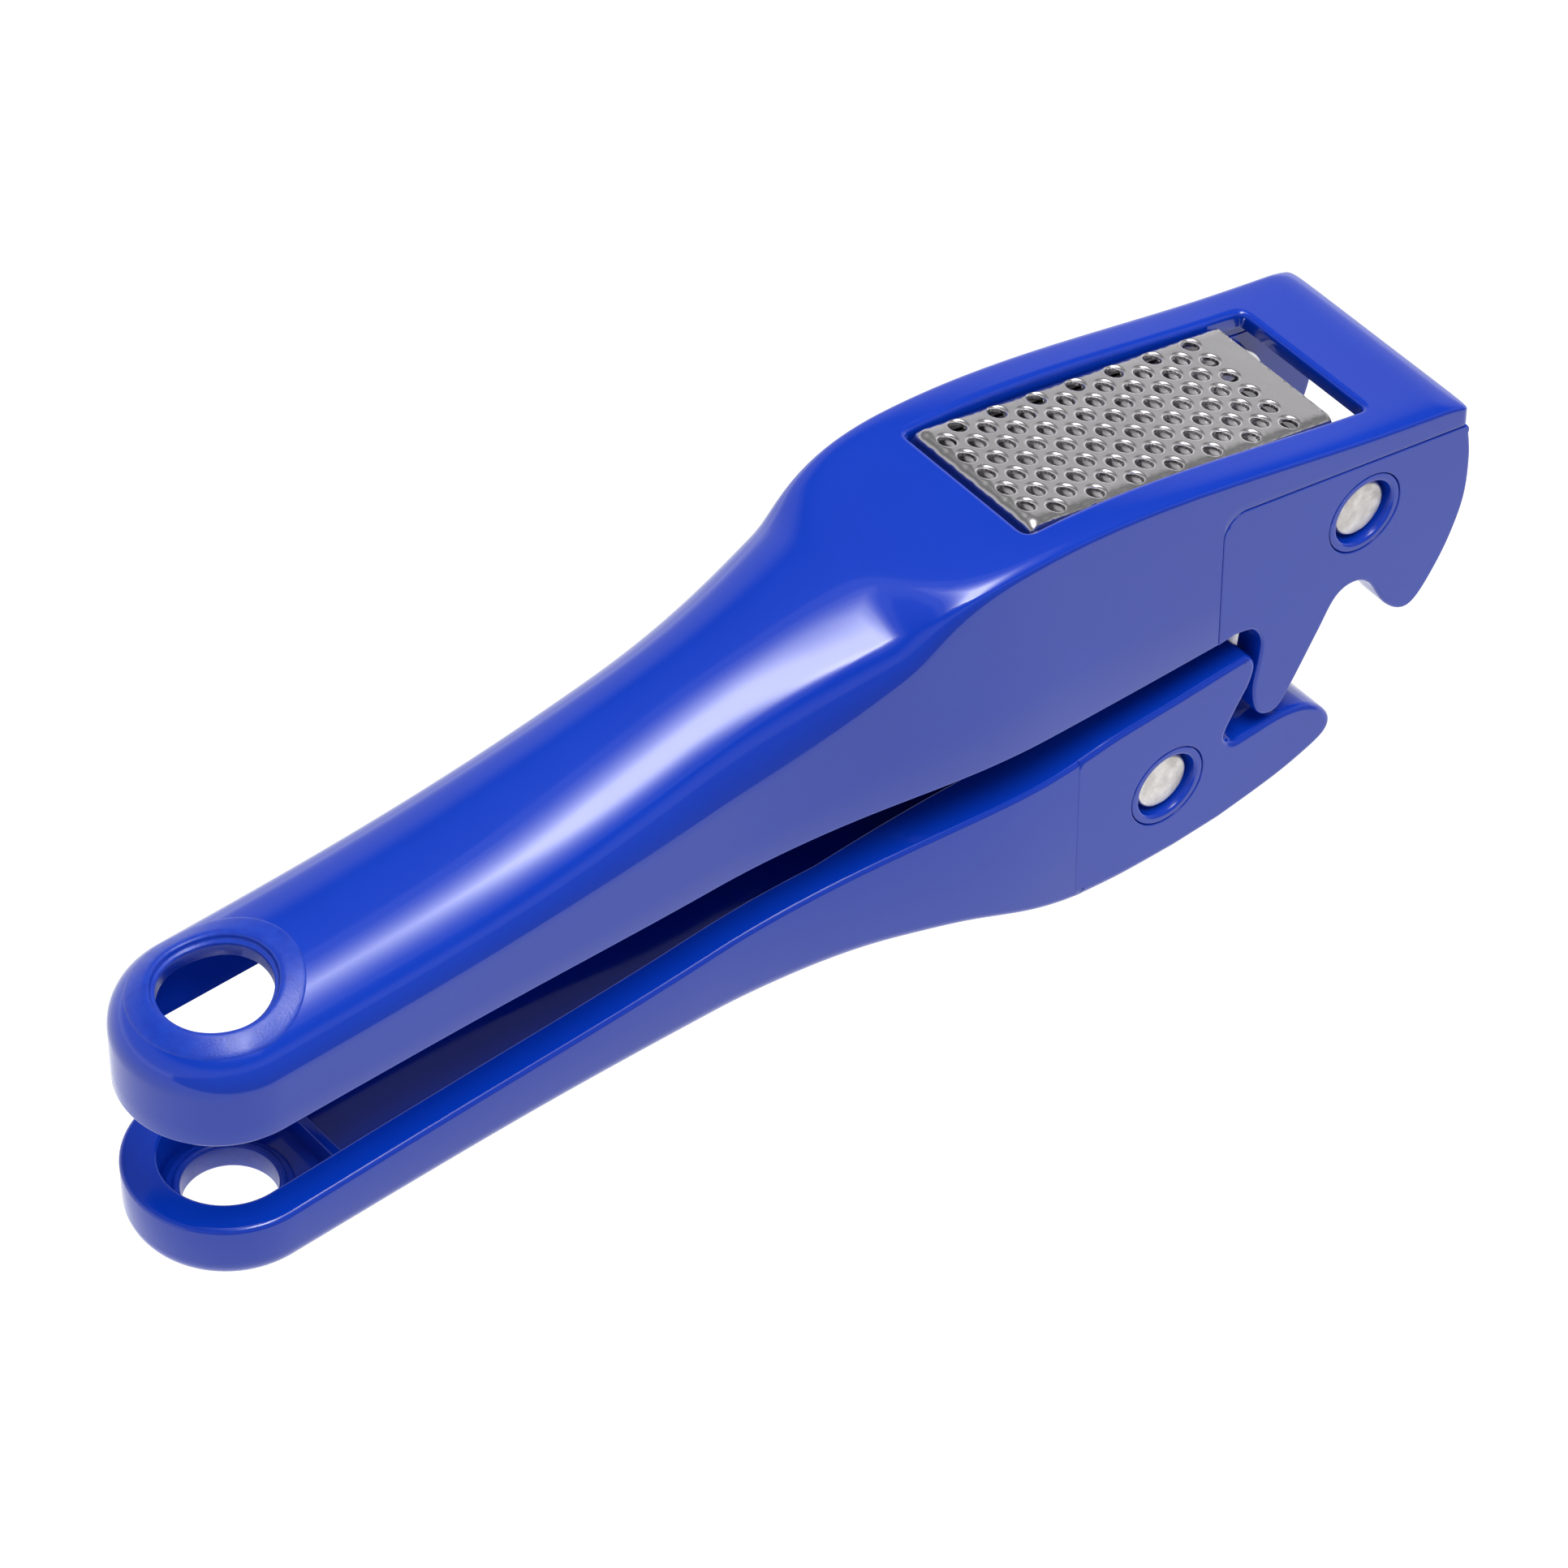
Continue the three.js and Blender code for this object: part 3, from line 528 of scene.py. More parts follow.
NOISE_LOW, NOISE_HIGH = 0.3, 0.7      # the part of a noise factor's range that is used


def between(material, factor, low, high, socket):
    """Drives a number input between two values by a noise factor."""
    tree = material.node_tree
    mapper = tree.nodes.new("ShaderNodeMapRange")
    mapper.inputs["From Min"].default_value = NOISE_LOW
    mapper.inputs["From Max"].default_value = NOISE_HIGH
    mapper.inputs["To Min"].default_value = low
    mapper.inputs["To Max"].default_value = high
    tree.links.new(factor, mapper.inputs["Value"])
    tree.links.new(mapper.outputs["Result"], socket)


def tint(material, factor, low, high, socket):
    """Varies a colour input between two colours by a noise factor."""
    tree = material.node_tree
    ramp = tree.nodes.new("ShaderNodeValToRGB")
    ramp.color_ramp.elements[0].position = NOISE_LOW
    ramp.color_ramp.elements[0].color = (*low, 1)
    ramp.color_ramp.elements[1].position = NOISE_HIGH
    ramp.color_ramp.elements[1].color = (*high, 1)
    tree.links.new(factor, ramp.inputs["Fac"])
    tree.links.new(ramp.outputs["Color"], socket)


def bump(material, shader, factor, strength, distance):
    """Roughens a shader's normal by a noise factor; distance is in metres."""
    tree = material.node_tree
    node = tree.nodes.new("ShaderNodeBump")
    node.inputs["Strength"].default_value = strength
    node.inputs["Distance"].default_value = distance
    tree.links.new(factor, node.inputs["Height"])
    tree.links.new(node.outputs["Normal"], shader.inputs["Normal"])


def gloss_blue():
    """Polished blue moulding: nearly even colour and sheen, with faint unevenness."""
    material, shader = new_material("blue_gloss", (0.0018, 0.035, 0.42), roughness=0.09)
    tint(material, noise(material, 25), (0.0014, 0.032, 0.40), (0.0022, 0.038, 0.44),
         shader.inputs["Base Color"])
    between(material, noise(material, 160, 8), 0.07, 0.12, shader.inputs["Roughness"])
    bump(material, shader, noise(material, 90, 2), 0.05, 0.0002)
    shader.inputs["IOR"].default_value = 1.5
    return material


def satin_blue():
    """Spark-textured blue of the hanging rings: fine grain and a soft sheen."""
    material, shader = new_material("blue_satin", (0.002, 0.031, 0.36), roughness=0.3)
    tint(material, noise(material, 900, 6), (0.0015, 0.030, 0.38), (0.0034, 0.043, 0.44),
         shader.inputs["Base Color"])
    between(material, noise(material, 420, 6), 0.27, 0.42, shader.inputs["Roughness"])
    bump(material, shader, noise(material, 3200, 5), 0.22, 0.00012)
    return material


def sheet_steel():
    """Bright stamped steel with a faint grain along the press."""
    material, shader = new_material("sheet_steel", (0.66, 0.645, 0.66), metallic=1.0, roughness=0.22)
    tint(material, noise(material, 60), (0.60, 0.585, 0.60), (0.72, 0.705, 0.72),
         shader.inputs["Base Color"])
    between(material, noise(material, 700, 5, (1, 12, 12)), 0.17, 0.27, shader.inputs["Roughness"])
    bump(material, shader, noise(material, 900, 3, (1, 14, 14)), 0.04, 0.0001)
    return material


def turned_steel():
    """Matt pin ends: pale steel with blotches and a fine grain."""
    material, shader = new_material("turned_steel", (0.80, 0.77, 0.74), metallic=1.0, roughness=0.42)
    tint(material, noise(material, 650, 7), (0.62, 0.585, 0.555), (0.86, 0.835, 0.81),
         shader.inputs["Base Color"])
    between(material, noise(material, 900, 6), 0.36, 0.58, shader.inputs["Roughness"])
    bump(material, shader, noise(material, 2600, 6), 0.35, 0.0001)
    return material


def moulded_nylon(name, dark, light):
    """Dull moulded plastic, mottled between two colours."""
    material, shader = new_material(name, light, roughness=0.5)
    tint(material, noise(material, 140), dark, light, shader.inputs["Base Color"])
    between(material, noise(material, 500), 0.42, 0.6, shader.inputs["Roughness"])
    bump(material, shader, noise(material, 1800), 0.15, 0.0001)
    return material


LOOKS = {
    "blue_gloss": gloss_blue(),
    "blue_satin": satin_blue(),
    "steel": sheet_steel(),
    "pin_steel": turned_steel(),
    "dark_nylon": moulded_nylon("dark_nylon", (0.012, 0.014, 0.02), (0.022, 0.025, 0.034)),
    "pale_nylon": moulded_nylon("pale_nylon", (0.70, 0.70, 0.68), (0.82, 0.82, 0.80)),
}

# ------------------------------------------------------------------ upper handle

WINDOW_SHARE = (WINDOW_HALF + WINDOW_MARGIN) / HEAD_HALF_WIDTH
CEILING_SHARE = (WINDOW_HALF + 0.05) / HEAD_CAVITY_HALF_WIDTH
SHELL_EDGE, SHELL_SEAM_EDGE = 0.6, 0.16        # radius of the lower edge, free and at the cheeks
LEAST_WALL_HEIGHT = 0.3
SAME = 1e-9


def crown_shares():
    """Shares of the half width from the wall to the middle, closest together at the wall."""
    near_wall = [1 - (1 - CEILING_SHARE) * share ** 3 for share in spread(0, 1, 9)[:-1]]
    ledge = spread(CEILING_SHARE, WINDOW_SHARE, 7)
    top = spread(WINDOW_SHARE, 0, 10)
    return near_wall + ledge[:-1] + top


SHARES = crown_shares()


def cheek_seam_z(x):
    """Height of the upper cheek's seam, which is the shell's lower edge in front of its bend."""
    if x <= CHEEK_SEAM_X:
        return upper_lower_edge(x)
    bend_end = CHEEK_SEAM_X + CHEEK_SEAM_BEND
    top = CHEEK_SEAM_BEND_Z + CHEEK_SEAM_BEND
    if x < bend_end:
        along = (bend_end - x) / CHEEK_SEAM_BEND
        return CHEEK_SEAM_BEND_Z + CHEEK_SEAM_BEND * math.sqrt(max(0.0, 1 - along ** 2))
    return mix(top, CHEEK_SEAM_FRONT_Z, (x - bend_end) / (FRONT_X - bend_end))


def upper_stations():
    """(angle, x, lower edge) of each section; the angle runs round the tail and is None after it."""
    tail = [(angle, TAIL_X, upper_lower_edge(TAIL_X)) for angle in spread(0, 90, 24)[:-1]]
    window_from, window_to = WINDOW_LEFT - WINDOW_MARGIN, WINDOW_RIGHT + WINDOW_MARGIN
    roll_from = FRONT_X - FRONT_ROLL_LENGTH
    xs = spread(TAIL_X, window_from, 78)[:-1]
    xs += [window_from, WINDOW_LEFT]
    xs += spread(WINDOW_LEFT, CHEEK_SEAM_X, 24)[1:]
    seam_bend = [
        CHEEK_SEAM_X + CHEEK_SEAM_BEND * (1 - math.cos(math.radians(a))) for a in spread(0, 90, 9)
    ]
    xs += seam_bend[1:]
    xs += spread(seam_bend[-1], WINDOW_RIGHT, 20)[1:]
    xs += [window_to]
    xs += spread(window_to, roll_from, 5)[1:]
    xs += [roll_from + FRONT_ROLL_LENGTH * math.sin(math.radians(a)) for a in spread(0, 90, 14)[1:]]
    body = []
    for x in xs:
        if abs(x - CHEEK_SEAM_X) < SAME:
            body.append((None, x, upper_lower_edge(x)))
            body.append((None, x, CHEEK_SEAM_BEND_Z))
        else:
            body.append((None, x, cheek_seam_z(x)))
    return tail + body


def upper_half_path(station, side, inner):
    """One side of a section, from the lower edge up the wall and over to the middle."""
    angle, x, low = station
    width = inner_half_width(x) if inner else half_width(x)
    edge = SHELL_SEAM_EDGE if x > CHEEK_SEAM_X or low > 0 else SHELL_EDGE
    drop = TOP_WALL if inner else 0.0
    top = crown_height(x, 1.0, drop)
    low = min(low, top - LEAST_WALL_HEIGHT)
    outward = 1 if inner else -1
    steps = [(width + outward * inset, low + rise) for inset, rise in quarter_round(edge, 4)]
    steps += [(width, height) for height in spread(low + edge, top, 3)[1:-1]]
    steps += [(width * share, crown_height(x, share, drop)) for share in SHARES]
    return [(*place_in_plan(angle, x, reach, side), height) for reach, height in steps]


def window_loops():
    """Loops from the crown's grid down the window's rounded edge and wall to the ceiling inside."""
    left, right = WINDOW_LEFT - WINDOW_MARGIN, WINDOW_RIGHT + WINDOW_MARGIN
    xs = [x for angle, x, _ in upper_stations() if angle is None and left <= x <= right]
    xs = sorted(set(xs))
    shares = [s for s in SHARES if s <= WINDOW_SHARE + SAME]
    across = [-s for s in shares] + shares[::-1][1:]
    plan = [(x, -WINDOW_SHARE * half_width(x)) for x in xs]
    plan += [(right, s * half_width(right)) for s in across[1:]]
    plan += [(x, WINDOW_SHARE * half_width(x)) for x in xs[::-1][1:]]
    plan += [(left, -s * half_width(left)) for s in across[1:-1]]
    core = (WINDOW_LEFT + WINDOW_CORNER, WINDOW_RIGHT - WINDOW_CORNER, WINDOW_HALF - WINDOW_CORNER)

    def loop(offset, depth):
        points = []
        for x, y in plan:
            middle = Vector((min(max(x, core[0]), core[1]), min(max(y, -core[2]), core[2])))
            away = (Vector((x, y)) - middle).normalized()
            place = middle + away * (WINDOW_CORNER + offset)
            points.append((place.x, place.y, crown_at(place.x, place.y) - depth))
        return points

    base = [(x, y, crown_at(x, y)) for x, y in plan]
    rounding = [loop(inset, depth) for inset, depth in quarter_round(WINDOW_FILLET, 6)]
    ceiling = []
    for x, y in plan:
        cx = min(max(x, WINDOW_LEFT), WINDOW_RIGHT)
        reach = CEILING_SHARE * inner_half_width(cx)
        cy = min(max(y, -reach), reach)
        ceiling.append((cx, cy, crown_height(cx, abs(cy) / inner_half_width(cx), TOP_WALL)))
    wall_foot = loop(0, TOP_WALL * 0.9)
    return [base, loop(WINDOW_FILLET + BEVEL_HOLD, 0)] + rounding + [wall_foot, ceiling]


def upper_handle():
    """The hollow blue handle with its window, from the round tail to the open front."""
    surface = Surface()
    stations = upper_stations()
    rows = []
    for station in stations:
        near = upper_half_path(station, -1, False)
        far = upper_half_path(station, 1, False)
        near_in = upper_half_path(station, -1, True)
        far_in = upper_half_path(station, 1, True)
        rows.append(surface.row(near + far[::-1][1:] + far_in + near_in[::-1][1:]))
    wall = len(near) - len(SHARES)
    across = 2 * len(near) - 1
    window = wall + SHARES.index(WINDOW_SHARE)
    ceiling = wall + SHARES.index(CEILING_SHARE)
    outer_block = set(range(window, across - 1 - window))
    inner_block = {across + i for i in range(ceiling, across - 1 - ceiling)}
    for low, high, before, after in zip(rows, rows[1:], stations, stations[1:]):
        start, end = before[1], after[1]
        skipped = set()
        if before[0] is None and WINDOW_LEFT - WINDOW_MARGIN <= start and end <= WINDOW_RIGHT + WINDOW_MARGIN:
            skipped |= outer_block
        if before[0] is None and WINDOW_LEFT <= start and end <= WINDOW_RIGHT:
            skipped |= inner_block
        surface.strip(low, high, closed=True, skip=skipped.__contains__)
    front = rows[-1]
    surface.strip(front[:across], front[across:][::-1])
    surface.skin([loop + loop[:1] for loop in window_loops()])
    piece = finish_piece("upper_handle_skin", surface, "upper_handle", ["upper_handle_shell"], "blue_gloss")
    cut_upright(piece, TAIL_X, (HANG_HOLE_RADIUS + HANG_RING_RADIUS) / 2)
    return piece


def upper_hang_pad():
    """Satin pad round the hanging hole, with a rounded lip and a stepped bevel."""
    surface = Surface()
    outer, hole = HANG_RING_RADIUS, HANG_HOLE_RADIUS
    face, lip_across, lip_drop = 0.08, 0.95, 0.55
    lip_foot = hole + 0.55
    rim = [(outer, -1.5), (outer, -0.05), (outer - 0.06, 0.03), (outer - 0.2, 0.07)]
    flat = [(radius, face) for radius in spread(outer - 0.5, lip_foot + lip_across, 6)]
    lip = [(lip_foot + inset, face - drop) for inset, drop in quarter_round(lip_across, 6, lip_drop)]
    steps = [(hole + 0.5, -0.8), (hole + 0.35, -0.95), (hole + 0.1, -1.05), (hole - 0.02, -1.2)]
    bore = [(hole, -1.6), (hole, -3.2), (hole + 0.5, -3.6), (outer - 0.6, -3.0)]
    profile = [(radius, height, True) for radius, height in rim + flat + lip[1:] + steps + bore]
    turned_upright(surface, profile, TAIL_X, crown_at)
    return finish_piece("upper_hang_pad", surface, "upper_handle", ["upper_hang_ring"], "blue_satin", 50)


def upper_cheek(side, word):
    """A toothed cheek of the upper head, flush with the handle at its seam."""
    bend_x = CHEEK_SEAM_X + CHEEK_SEAM_BEND
    bend_z = CHEEK_SEAM_BEND_Z
    seam_x = CHEEK_SEAM_X + SEAM
    outline = [(seam_x, upper_lower_edge(seam_x)), (seam_x, 0.0)]
    outline += arc(CHEEK_SEAM_BEND - SEAM, bend_x, bend_z, 180, 90, 10)
    outline += [(-2, cheek_seam_z(-2) - SEAM), (FRONT_X - 0.3, CHEEK_SEAM_FRONT_Z - SEAM)]
    outline += spline_through([(FRONT_X, CHEEK_SEAM_FRONT_Z - 0.6)] + UPPER_TEETH)

    def bevel(x, z):
        on_top_seam = z > cheek_seam_z(max(x, bend_x)) - TOP_SEAM_REACH
        on_rear_seam = x < seam_x + REAR_SEAM_REACH and z > REAR_SEAM_FOOT_Z
        by_bush = math.hypot(x, z) < BUSH_SURROUND
        return SEAM_BEVEL if on_top_seam or on_rear_seam or by_bush else CHEEK_BEVEL

    surface = Surface()
    bush_seat = circle(BUSH_RADIUS + SEAM)
    y_low, y_high = sorted((side * HEAD_CAVITY_HALF_WIDTH, side * HEAD_HALF_WIDTH))
    plate(surface, outline, [bush_seat], y_low, y_high, bevel)
    name = f"upper_cheek_{word}"
    return finish_piece(name, surface, "upper_handle", [f"upper_gear_cheek_{word}"], "blue_gloss")


def bush(side, inner, pivot, body, node, name):
    """Recessed bush round a pin end, with rounded edges and a soft step down to the pin."""
    face, bore = HEAD_HALF_WIDTH, PIN_RADIUS + PIN_CLEARANCE
    profile = [(bore, inner), (BUSH_RADIUS, inner), (BUSH_RADIUS, face - BUSH_EDGE)]
    profile += [(BUSH_RADIUS - BUSH_EDGE, face), (BUSH_RECESS_RADIUS + BUSH_LIP + BEVEL_HOLD, face)]
    profile += [
        (BUSH_RECESS_RADIUS + inset, face - depth) for inset, depth in quarter_round(BUSH_LIP, 5)
    ]
    profile += [(BUSH_RECESS_RADIUS, BUSH_RECESS_Y + 0.5), (BUSH_RECESS_RADIUS - 0.2, BUSH_RECESS_Y)]
    profile += [(bore, BUSH_RECESS_Y)]
    surface = Surface()
    turned(surface, [(radius, side * y) for radius, y in profile], *pivot)
    return finish_piece(name, surface, body, [node], "blue_gloss", 40)


def pin(pivot, body, node, name):
    """Steel pin with rounded, slightly crowned ends."""
    crown = [(0.0, 0.0), (1.6, 0.01), (2.9, 0.035)]
    end = [(radius, PIN_END_Y - drop) for radius, drop in crown]
    end += [
        (PIN_RADIUS - inset, PIN_END_Y - depth - PIN_CROWN) for inset, depth in quarter_round(PIN_EDGE, 4)
    ]
    profile = [(radius, -y) for radius, y in end] + [(radius, y) for radius, y in end[::-1]]
    surface = Surface()
    turned(surface, profile, *pivot)
    return finish_piece(name, surface, body, [node], "pin_steel", 50)


# ------------------------------------------------------------------ lower handle

def lower_stations():
    """(angle, x) of each section; the angle runs round the tail and is None after it."""
    tail = [(angle, TAIL_X) for angle in spread(0, 90, 24)[:-1]]
    return tail + [(None, x) for x in spread(TAIL_X, LOWER_SEAM_X - LOWER_SEAM / 2, 90)]


def lower_half_path(station, side):
    """One side of a section, from the middle of the underside round to the middle of the floor."""
    angle, x = station
    width = half_width(x)
    wall = width - min(width - (GRIP_HALF_WIDTH - LOWER_CHANNEL_HALF_WIDTH), LOWER_CHEEK_INNER)
    rim, bottom = lower_rim(x), lower_bottom(x)
    corner = mix(LOWER_CORNER_GRIP, LOWER_CORNER_HEAD, smoothstep(x, SHOULDER_START_X, HEAD_START_X))
    outer_edge, inner_edge, floor_corner = 0.7, 0.45, 1.5
    floor = bottom + SHELL_WALL
    steps = [(inset, bottom) for inset in spread(width, corner, 5)[:-1]]
    steps += [(inset, bottom + rise) for inset, rise in quarter_round(corner, 8)]
    steps += [(inset, rim - drop) for drop, inset in quarter_round(outer_edge, 8)]
    steps += [(wall - inset, rim - drop) for inset, drop in quarter_round(inner_edge, 4)]
    steps += [(wall + inset, floor + rise) for rise, inset in quarter_round(floor_corner, 5)]
    steps += [(inset, floor) for inset in spread(wall + floor_corner, width, 4)[1:]]
    return [(*place_in_plan(angle, x, width - inset, side), height) for inset, height in steps]


def lower_handle():
    """The lower handle: a deep trough with a wide, rounded rim."""
    surface = Surface()
    rows = []
    for station in lower_stations():
        near = lower_half_path(station, -1)
        far = lower_half_path(station, 1)
        rows.append(near + far[::-1][1:-1])
    indices = surface.skin(rows, closed=True)
    count = len(near)
    near_end, far_end = indices[-1][:count], indices[-1][count - 1:] + indices[-1][:1]
    for end in (near_end, far_end):
        flat = [Vector((surface.points[i][1], surface.points[i][2], 0)) for i in end]
        for triangle in tessellate_polygon([flat]):
            surface.faces.append(tuple(end[i] for i in triangle))
    piece = finish_piece("lower_handle_trough", surface, "lower_handle", ["lower_handle_shell"], "blue_gloss")
    cut_upright(piece, TAIL_X, LOWER_RING_RADIUS - 0.3)
    return piece


def lower_rib():
    """The cross rib in front of the hanging hole."""
    x, half = TAIL_X + RIB_FROM_HOLE, LOWER_CHANNEL_HALF_WIDTH + 0.2
    low = lower_bottom(x) + SHELL_WALL - 0.4
    rear, front = x - RIB_HALF_THICKNESS, x + RIB_HALF_THICKNESS
    edge_z = low + RIB_HEIGHT - RIB_EDGE
    section = [(rear, low), (front, low)] + arc(RIB_EDGE, front - RIB_EDGE, edge_z, 0, 90, 4)
    section += arc(RIB_EDGE, rear + RIB_EDGE, edge_z, 90, 180, 4)
    surface = Surface()
    surface.skin([[(px, y, pz) for px, pz in section] for y in spread(-half, half, 6)], closed=True)
    return finish_piece("lower_cross_rib", surface, "lower_handle", [], "blue_gloss")


def lower_hang_collar():
    """Stepped collar round the lower hanging hole."""
    bottom = lower_bottom(TAIL_X)
    hole, outer = LOWER_HOLE_RADIUS, LOWER_RING_RADIUS
    profile = [(hole + 0.5, 0), (outer, 0), (outer, 3.1), (outer - 0.15, 3.3), (outer - 0.4, 3.4),
               (hole + 1.25, 3.4), (hole + 1.05, 3.45), (hole + 0.95, 3.75), (hole + 0.75, 3.9),
               (hole + 0.4, 3.9), (hole + 0.12, 3.75), (hole, 3.45), (hole, 0.5), (hole + 0.15, 0.15)]
    surface = Surface()
    turned_upright(surface, [(radius, bottom + z, False) for radius, z in profile], TAIL_X)
    return finish_piece("lower_hang_collar", surface, "lower_handle", ["lower_hang_ring"], "blue_satin", 50)


def lower_head():
    """The toothed head of the lower handle: two thick cheeks and the floor between them."""
    seam = LOWER_SEAM_X + LOWER_SEAM / 2
    low, high = lower_bottom(seam), lower_rim(seam)
    outline = [(seam, low), (seam, low + 2.2), (seam, high - 1.6), (seam, high)]
    outline += spline_through([(-44, lower_rim(-44))] + LOWER_HEAD_TOP + LOWER_TEETH)
    outline += spline_through(LOWER_HEAD_UNDERSIDE + [(seam + 1, lower_bottom(seam + 1))])

    def bevel(x, z):
        on_seam = x < seam + 0.1 and low + 1 < z < high - 1
        by_bush = math.hypot(x - LOWER_PIVOT[0], z - LOWER_PIVOT[1]) < BUSH_SURROUND
        if on_seam or by_bush:
            return SEAM_BEVEL
        if z > LOWER_TOP_ABOVE_Z:
            return LOWER_HEAD_TOP_BEVEL
        return mix(LOWER_CORNER_HEAD, LOWER_HEAD_FRONT_BEVEL, smoothstep(x, seam, LOWER_CORNER_ENDS_X))

    seat = circle(BUSH_RADIUS + SEAM, *LOWER_PIVOT)
    surface = Surface()
    for y_low, y_high in ((-HEAD_HALF_WIDTH, -LOWER_CHEEK_INNER), (LOWER_CHEEK_INNER, HEAD_HALF_WIDTH)):
        plate(surface, outline, [seat], y_low, y_high, bevel)
    floor = lower_bottom(LOWER_SEAM_X) + SHELL_WALL
    start, end = seam + 0.1, LOWER_HEAD_FLOOR_END
    section = [(x, lower_bottom(x) + 0.3) for x in spread(start, end, 12)] + [(end, floor), (start, floor)]
    reach = LOWER_CHEEK_INNER + 0.5
    surface.skin([[(x, y, z) for x, z in section] for y in (-reach, reach)], closed=True)
    return finish_piece("lower_head", surface, "lower_handle", ["lower_gear_frame"], "blue_gloss")


# ------------------------------------------------------------------ sieve and hopper

REAR_REACH = math.hypot(SIEVE_LEFT, SIEVE_HEIGHT)
REAR_FOLD_Z = SIEVE_HEIGHT - FOLD_RADIUS - 0.3
REAR_FOLD = math.sqrt(REAR_REACH ** 2 - REAR_FOLD_Z ** 2) + 0.03       # just clear of the back wall
SHEET_REAR_X = -REAR_FOLD + FOLD_RADIUS - FOLD_RADIUS * math.pi / 2 - 0.5
HOLE_FIELD_HALF_WIDTH = HOLE_PITCH * HOLES_IN_LONG_ROW / 2
HOLE_POINTS = 36


def fold(distance, limit):
    """Bends a flat distance down over a fold: (distance across, drop)."""
    past = distance - (limit - FOLD_RADIUS)
    if past <= 0:
        return distance, 0.0
    quarter = FOLD_RADIUS * math.pi / 2
    if past <= quarter:
        angle = past / FOLD_RADIUS
        return limit - FOLD_RADIUS * (1 - math.sin(angle)), FOLD_RADIUS * (1 - math.cos(angle))
    return limit, FOLD_RADIUS + past - quarter


def folded(point):
    """Bends a point of the flat sheet: down over both long sides and over the rear end."""
    x, y, z = point
    across, drop = fold(abs(y), HOPPER_HALF_WIDTH)
    rear, rear_drop = fold(-x, REAR_FOLD)
    return from_slope((-rear, math.copysign(across, y), SIEVE_HEIGHT + z - drop - rear_drop))


def hole_cell(surface, x, y, pierced):
    """One hexagon of the sheet round a hole, or a blank one, clamped to the sheet's edges."""
    apothem = HOLE_PITCH / 2
    angles = [2 * math.pi * i / HOLE_POINTS for i in range(HOLE_POINTS)]
    corner = [apothem / math.cos((a % (math.pi / 3)) - math.pi / 6) for a in angles]
    if pierced:
        rings = [(DIMPLE_RADIUS + 0.12, 0.0)] + [
            (mix(DIMPLE_RADIUS, HOLE_RADIUS, math.sin(a)), -DIMPLE_DEPTH * (1 - math.cos(a)))
            for a in spread(0, math.pi / 2, 6)
        ] + [(HOLE_RADIUS, -SHEET)]
    else:
        rings = [(1.2, 0.0), (0.6, 0.0), (0.0, 0.0)]
    rows = [[(x + r * math.cos(a), y + r * math.sin(a), 0.0) for r, a in zip(corner, angles)]]
    rows += [[(x + r * math.cos(a), y + r * math.sin(a), z) for a in angles] for r, z in rings]

    def clamp(point):
        px = min(max(point[0], SHEET_REAR_X), SIEVE_RIGHT)
        py = min(max(point[1], -HOLE_FIELD_HALF_WIDTH), HOLE_FIELD_HALF_WIDTH)
        return px, py, point[2]

    surface.skin([[clamp(p) for p in row] for row in rows], closed=True)


def sieve():
    """Perforated steel sheet with punched, dimpled holes, folded down at its sides and rear."""
    surface = Surface()
    row_step = HOLE_PITCH * math.sqrt(3) / 2
    for row in range(FIRST_ROW - 2, LAST_ROW + 4):
        count = HOLES_IN_LONG_ROW if row % 2 == 0 else HOLES_IN_SHORT_ROW
        for index in range(-1, count + 1):
            pierced = FIRST_ROW <= row <= LAST_ROW and 0 <= index < count
            x = HOLE_ROWS_START_X + row * row_step
            if x - row_step < SIEVE_RIGHT:
                hole_cell(surface, x, (index - (count - 1) / 2) * HOLE_PITCH, pierced)
    side_end = HOPPER_HALF_WIDTH - FOLD_RADIUS + FOLD_RADIUS * math.pi / 2 + SKIRT
    for side in (-1, 1):
        rows = [
            [(x, side * y, 0.0) for x in spread(SHEET_REAR_X, SIEVE_RIGHT, 60)]
            for y in spread(HOLE_FIELD_HALF_WIDTH, side_end, 10)
        ]
        surface.skin(rows)
    front = [(SIEVE_RIGHT, y, 0.0) for y in spread(-side_end, side_end, 60)]
    surface.skin([front, [(x, y, -SHEET) for x, y, _ in front]])
    return finish_piece(
        "sieve_sheet", surface, "hopper", ["sieve_hopper"], "steel", 40, lambda p: to_world(folded(p)))


def hopper_sides():
    """Side plates with their ears round the upper pin, and the swept back wall."""
    back, top = REAR_REACH, REAR_FOLD_Z
    rear_angle = math.degrees(math.atan2(top, -math.sqrt(back ** 2 - top ** 2)))
    outline = [(SIEVE_RIGHT, top)] + arc(back, 0, 0, rear_angle, WALL_FOOT_ANGLE, 8)
    outline += arc(EAR_RADIUS, 0, 0, EAR_FROM_ANGLE, EAR_TO_ANGLE, 36)
    surface = Surface()
    pin_hole = circle(PIN_RADIUS + 0.2)
    for low, high in ((-HOPPER_HALF_WIDTH, SHEET - HOPPER_HALF_WIDTH),
                      (HOPPER_HALF_WIDTH - SHEET, HOPPER_HALF_WIDTH)):
        plate(surface, outline, [pin_hole], low, high, lambda x, z: SHEET_BEVEL)
    wall = arc(back, 0, 0, rear_angle, WALL_FOOT_ANGLE, 10)
    wall += arc(back - SHEET, 0, 0, WALL_FOOT_ANGLE, rear_angle, 10)
    reach = HOPPER_HALF_WIDTH - 0.2
    surface.skin([[(x, y, z) for x, z in wall] for y in (-reach, reach)], closed=True)
    return finish_piece(
        "hopper_sides", surface, "hopper", [], "steel", place=lambda p: to_world(from_slope(p)))


